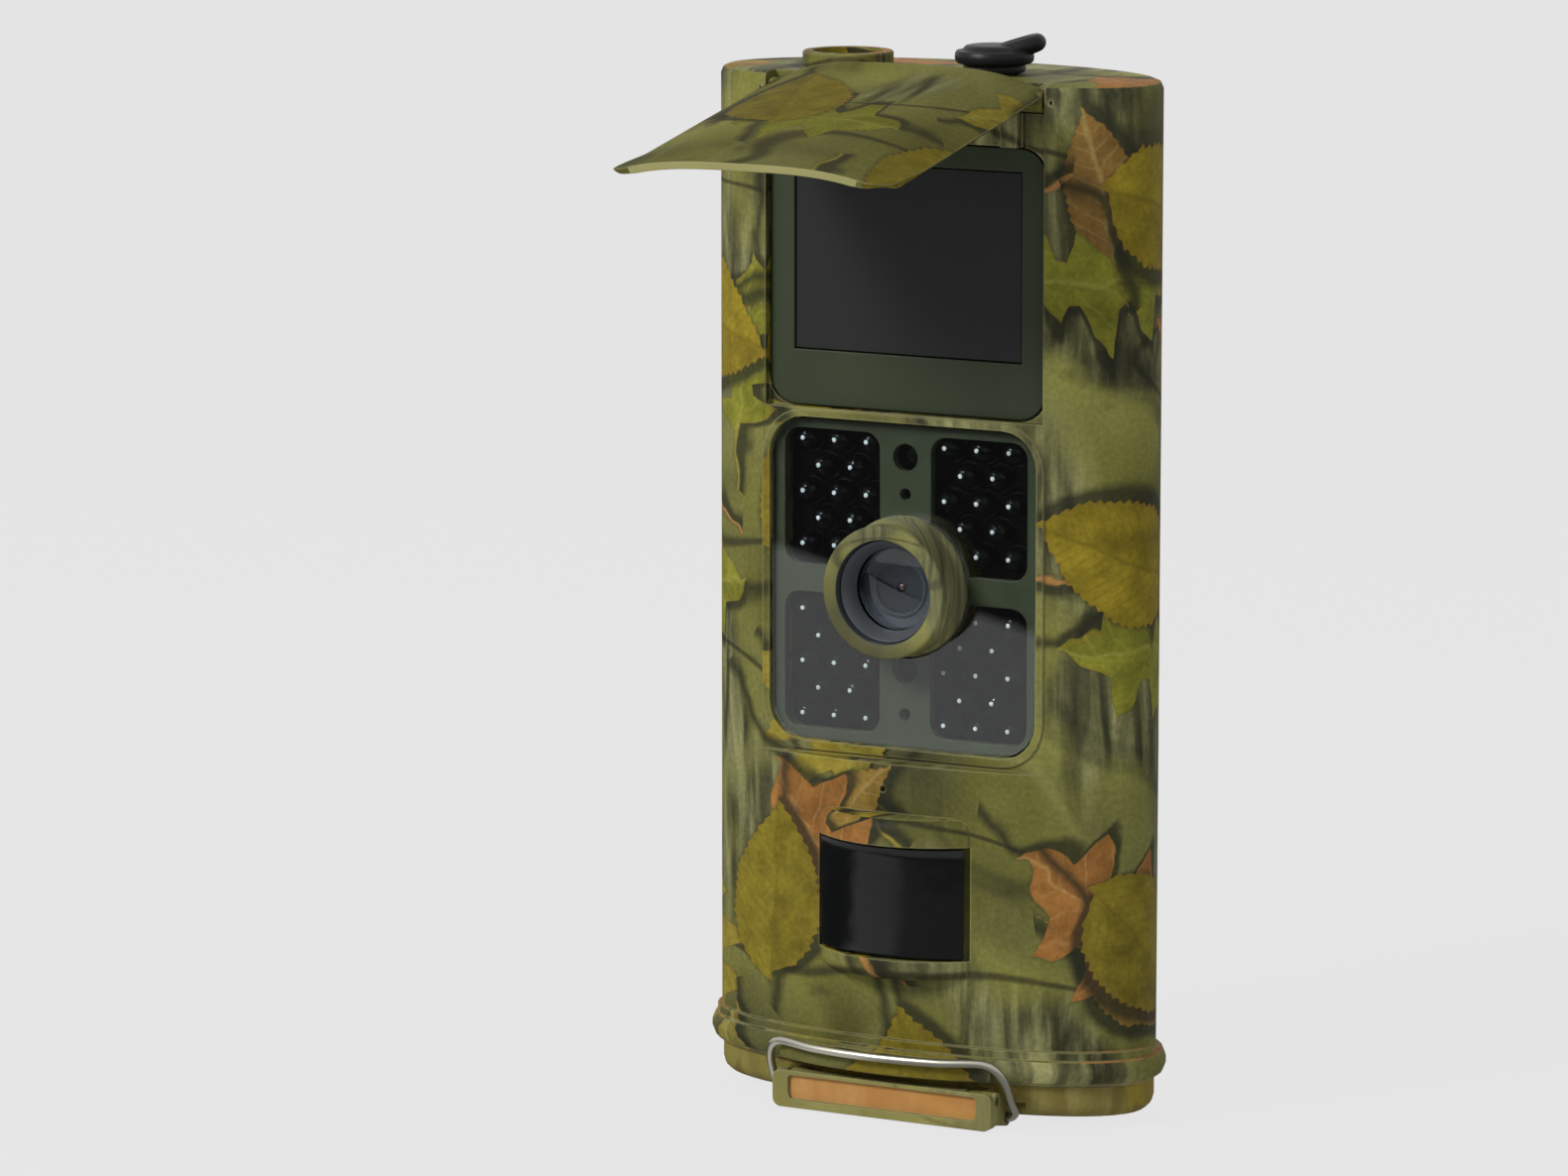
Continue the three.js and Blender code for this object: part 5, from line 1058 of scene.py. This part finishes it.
class AddPlug(bpy.types.Operator):
    """Adds the rubber plug: a turned body with a lip and a groove, and a pull tab, a thick loop with a web"""

    bl_idname = "trail_camera.add_plug"
    bl_label = "Add plug"

    def execute(self, context):
        body = [(0, 182.05), (3.2, 182.05), (3.5, 182.4), (3.5, 187.35), (5.1, 187.35), (5.5, 187.6),
                (5.6, 188.3), (5.45, 188.7), (5.7, 188.9), (6.5, 189.0), (6.95, 189.4), (7.05, 190.0),
                (7.0, 190.8), (6.7, 191.25), (5.8, 191.4), (5.5, 191.7), (5.1, 192.1), (4.4, 192.25),
                (0, 192.3)]
        sides = 64
        plug = turned(body, sides, (PLUG_ASIDE, TOP_DEPTH, 0), axis="Z")
        turn = np.linspace(0, 2 * np.pi, sides, endpoint=False)
        squared = 2 / TAB_SQUARENESS
        along = TAB_HALF_LENGTH * np.sign(np.cos(turn)) * np.abs(np.cos(turn)) ** squared
        across = TAB_HALF_WIDTH * np.sign(np.sin(turn)) * np.abs(np.sin(turn)) ** squared
        loop = tube(np.stack([along, across, 0 * turn], axis=1), TAB_RADIUS, 16, closed=True)
        rings = [np.stack([along * share, across * share, 0 * turn + rise], axis=1)
                 for share, rise in ((0.5, 0.5), (1.02, 0.5), (1.02, -0.5), (0.5, -0.5))]
        points = np.vstack(rings + [[(0, 0, 0.5), (0, 0, -0.5)]])
        top, under = len(points) - 2, len(points) - 1
        faces = grid(4, sides, close_columns=True).tolist()
        for pole, first, way in ((top, 0, -1), (under, 3 * sides, 1)):
            rim = first + np.arange(sides)
            fan = np.stack([np.full(sides, pole), rim, np.roll(rim, -1)], axis=1)
            faces += fan[:, ::way].tolist()
        web = facing_out(points, faces)
        tilt, swing = math.radians(TAB_TILT), math.radians(TAB_SWING)
        lift = np.array([[math.cos(tilt), 0, -math.sin(tilt)], [0, 1, 0],
                         [math.sin(tilt), 0, math.cos(tilt)]])
        twist = np.array([[math.cos(swing), -math.sin(swing), 0], [math.sin(swing), math.cos(swing), 0],
                          [0, 0, 1]])
        tabs = []
        for points, faces in (loop, web):
            tilted = points @ lift.T + np.array(TAB_PLACE)
            tabs.append((tilted @ twist.T + np.array([PLUG_ASIDE, TOP_DEPTH, 0]), faces))
        add_piece("rubber_plug_skin", joined([plug] + tabs), "rubber", "plug", "black_rubber",
                  ("rubber_plug",))
        return {"FINISHED"}


class AddWire(bpy.types.Operator):
    """Adds the wire bail: one bright wire bent round from its two hooked feet, bowed over the catch"""

    bl_idname = "trail_camera.add_wire"
    bl_label = "Add wire"

    def execute(self, context):
        foot_depth, foot_height = -1.4, 2.0
        front = -11.6 - foot_depth
        bow = 4.2
        corner_front = front + bow
        rise = 12.6 - foot_height
        wire = 0.8
        corner = 22.4
        side = 24
        half = [
            (20.9, 0, 0), (side - wire * 1.6, 0, 0), (side, corner_front * 0.1, rise * 0.1),
            (side, corner_front * 0.35, rise * 0.3), (side - wire * 0.4, corner_front * 0.7, rise * 0.68),
            (corner, corner_front * 0.94, rise * 0.92),
            (corner - wire * 2.2, corner_front - wire * 0.3, rise), (corner * 0.55, front + bow * 0.3, rise),
        ]
        knots = [(-x, y, z) for x, y, z in half] + [(0, front, rise)] + half[::-1]
        path = smooth_path(knots, 220) + np.array([0, foot_depth, foot_height])
        add_piece("wire_bail", tube(path, wire - 0.02, 16), "steel", "bail", "bright_steel", ("latch_bail",))
        return {"FINISHED"}


class AddSmallMetal(bpy.types.Operator):
    """Adds the antenna connector with its thread ridges, and the screws that hold the strap bracket"""

    bl_idname = "trail_camera.add_small_metal"
    bl_label = "Add connector and screws"

    def execute(self, context):
        profile = [(0, 177.55), (3.0, 177.55), (3.0, 182.3), (4.9, 182.3), (4.9, 184.4), (2.85, 184.4)]
        for k in range(THREAD_RIDGES):
            base = 184.75 + k * THREAD_PITCH
            profile += [(2.8, base), (3.05, base + 0.15), (3.05, base + 0.3), (2.8, base + 0.45)]
        profile += [(2.9, 187.6), (2.05, 187.65), (2.0, 184.6), (0.9, 184.6), (0.9, 187.2), (0.5, 187.35),
                    (0, 187.4)]
        connector = turned(profile, 48, (COLLAR_ASIDE, TOP_DEPTH, 0), axis="Z")
        add_piece("antenna_connector_skin", connector, "brass", "housing", "brass_plate",
                  ("antenna_connector",))

        arc = np.linspace(0, np.pi / 2, 6)
        head = [(0, -0.35), (2.3, -0.35), (2.3, 0.5)]
        head += [(1.5 + 0.8 * math.cos(a), 0.5 + 0.7 * math.sin(a)) for a in arc]
        head += [(0.95, 1.22), (0.7, 0.55), (0, 0.5)]
        heads = [turned(head, 32, (x, BRACKET_BACK, z)) for x in (-15.0, 15.0) for z in (69.0, 127.0)]
        add_piece("bracket_screws", joined(heads), "steel", "housing", "bright_steel")
        return {"FINISHED"}


class AddStage(bpy.types.Operator):
    """Adds the pale floor, the soft lights and the camera at the photograph's angle"""

    bl_idname = "trail_camera.add_stage"
    bl_label = "Add stage"

    def execute(self, context):
        colour = tuple(context.scene.trail_camera_stage.floor_colour) + (1.0,)
        corners = [(x * FLOOR_REACH, y * FLOOR_REACH, 0) for x, y in ((-1, -1), (1, -1), (1, 1), (-1, 1))]
        mesh = bpy.data.meshes.new("floor")
        mesh.from_pydata(corners, [], [[0, 1, 2, 3]])
        mesh.materials.append(paper_floor(colour))
        floor = bpy.data.objects.new("floor", mesh)
        context.scene.collection.objects.link(floor)
        context.scene.world = studio_world(colour)

        for name, where, power, size, aim in LIGHTS:
            lamp = bpy.data.lights.new(name, "AREA")
            lamp.energy = power
            lamp.size = size
            light = bpy.data.objects.new(name, lamp)
            context.scene.collection.objects.link(light)
            light.location = where
            light.visible_glossy = name == "key_light"
            aim_at(light, aim)

        lens = bpy.data.cameras.new("photo_camera")
        lens.sensor_width = SENSOR_WIDTH
        lens.lens = FOCAL_IN_WIDTHS * SENSOR_WIDTH
        lens.clip_start, lens.clip_end = 0.05, 200.0
        view = bpy.data.objects.new("photo_camera", lens)
        context.scene.collection.objects.link(view)
        view.location = CAMERA_PLACE
        view.rotation_euler = (math.pi / 2 - math.radians(CAMERA_ELEVATION), 0, math.radians(CAMERA_AZIMUTH))
        context.scene.camera = view
        context.scene.view_settings.view_transform = "Standard"
        return {"FINISHED"}


def paper_floor(colour):
    """Pale paper: seen plain but for a soft shadow, and mirrored only as a sheet in front of the object.

    The sheet ends on a straight line across the floor, and on two lines that fan out from the object.
    """
    material, tree, shader = new_material("Pale_paper_floor")
    set_sockets(shader, Base_Color=colour, Roughness=0.9, Specular_IOR_Level=0.1)
    node = partial(add_node, tree)
    rays = node("LightPath")
    plain = node("Emission", {"Color": colour, "Strength": 1.0})
    share = node("Math", [rays.outputs["Is Camera Ray"], 0.965], operation="MULTIPLY")
    seen = node("MixShader", [share, shader, plain])
    spot = node("TexCoord")
    axes = node("SeparateXYZ", [spot.outputs["Object"]])
    ahead = node("Math", [axes.outputs[1], -0.8], operation="MULTIPLY")
    beyond = node("Math", [axes, 0.6, ahead], operation="MULTIPLY_ADD")
    near = node("MapRange", {"Value": beyond, "From Min": SHEET_END, "From Max": SHEET_END - 0.008})
    left = node("Math", [axes, -1.0], operation="MULTIPLY")
    front = node("Math", [axes.outputs[1], -1.0], operation="MULTIPLY")
    turn = node("Math", [left, front], operation="ARCTAN2")
    wide = node("MapRange", {"Value": turn, "From Min": math.radians(54), "From Max": math.radians(44)})
    narrow = node("MapRange", {
        "Value": turn, "From Min": math.radians(6), "From Max": math.radians(16), "To Min": 0.35})
    sector = node("Math", [wide, narrow], operation="MULTIPLY")
    sheet = node("Math", [sector, near], operation="MULTIPLY")
    glow = node("MapRange", {"Value": sheet, "To Min": 0.06, "To Max": 1.0})
    mirrored = node("Emission", {"Color": colour, "Strength": glow})
    final = node("MixShader", [rays.outputs["Is Glossy Ray"], seen, mirrored])
    show_surface(tree, final)
    return material


def studio_world(colour):
    """A pale room: the backdrop's colour where it is seen, mirrored or seen through glass, and soft light."""
    world = bpy.data.worlds.new("studio")
    world.use_nodes = True
    sky = world.node_tree
    sky.nodes.clear()
    node = partial(add_node, sky)
    rays = node("LightPath")
    background = node("Background", {"Color": colour, "Strength": 1.0})
    ambient = node("Background", {"Color": linear("#dfe3e8"), "Strength": 0.5})
    seen = rays.outputs["Is Camera Ray"]
    for kind in ("Is Glossy Ray", "Is Transmission Ray"):
        seen = node("Math", [seen, rays.outputs[kind]], operation="MAXIMUM")
    mix = node("MixShader", [seen, ambient, background])
    node("OutputWorld", {"Surface": mix})
    return world


def aim_at(thing, target):
    """Turns a light so that it shines at a point."""
    x, y, z = np.array(target, float) - np.array(thing.location, float)
    thing.rotation_euler = (math.atan2(math.hypot(x, y), -z), 0, math.atan2(y, x) - math.pi / 2)


class TrailCameraPanel(bpy.types.Panel):
    """Lists the pieces of the trail camera"""

    bl_idname = "VIEW3D_PT_trail_camera"
    bl_label = "Trail camera"
    bl_space_type = "VIEW_3D"
    bl_region_type = "UI"
    bl_category = "Trail camera"

    def draw(self, context):
        for operator in OPERATORS:
            self.layout.operator(operator.bl_idname)
        for group in SETTINGS:
            settings = getattr(context.scene, group)
            for name in settings.bl_rna.properties.keys():
                if name not in ("rna_type", "name"):
                    self.layout.prop(settings, name)


OPERATORS = (DressFrame, AddShells, AddLever, AddVisor, AddVisorHinge, AddLamps, AddLens, AddSensorWindow,
             AddPlug, AddWire, AddSmallMetal, AddStage)
SETTINGS = {
    "trail_camera_housing": HousingSettings,
    "trail_camera_visor": VisorSettings,
    "trail_camera_lamps": LampSettings,
    "trail_camera_stage": StageSettings,
}


def register():
    """Registers the settings, the operators and the panel."""
    for name, group in SETTINGS.items():
        bpy.utils.register_class(group)
        setattr(bpy.types.Scene, name, bpy.props.PointerProperty(type=group))
    for item in OPERATORS + (TrailCameraPanel,):
        bpy.utils.register_class(item)


def unregister():
    """Takes all of them out again."""
    for item in (TrailCameraPanel,) + OPERATORS[::-1]:
        bpy.utils.unregister_class(item)
    for name, group in SETTINGS.items():
        delattr(bpy.types.Scene, name)
        bpy.utils.unregister_class(group)


def main():
    """Builds everything in order."""
    register()
    for operator in OPERATORS:
        family, name = operator.bl_idname.split(".")
        getattr(getattr(bpy.ops, family), name)()


if __name__ == "__main__":
    main()
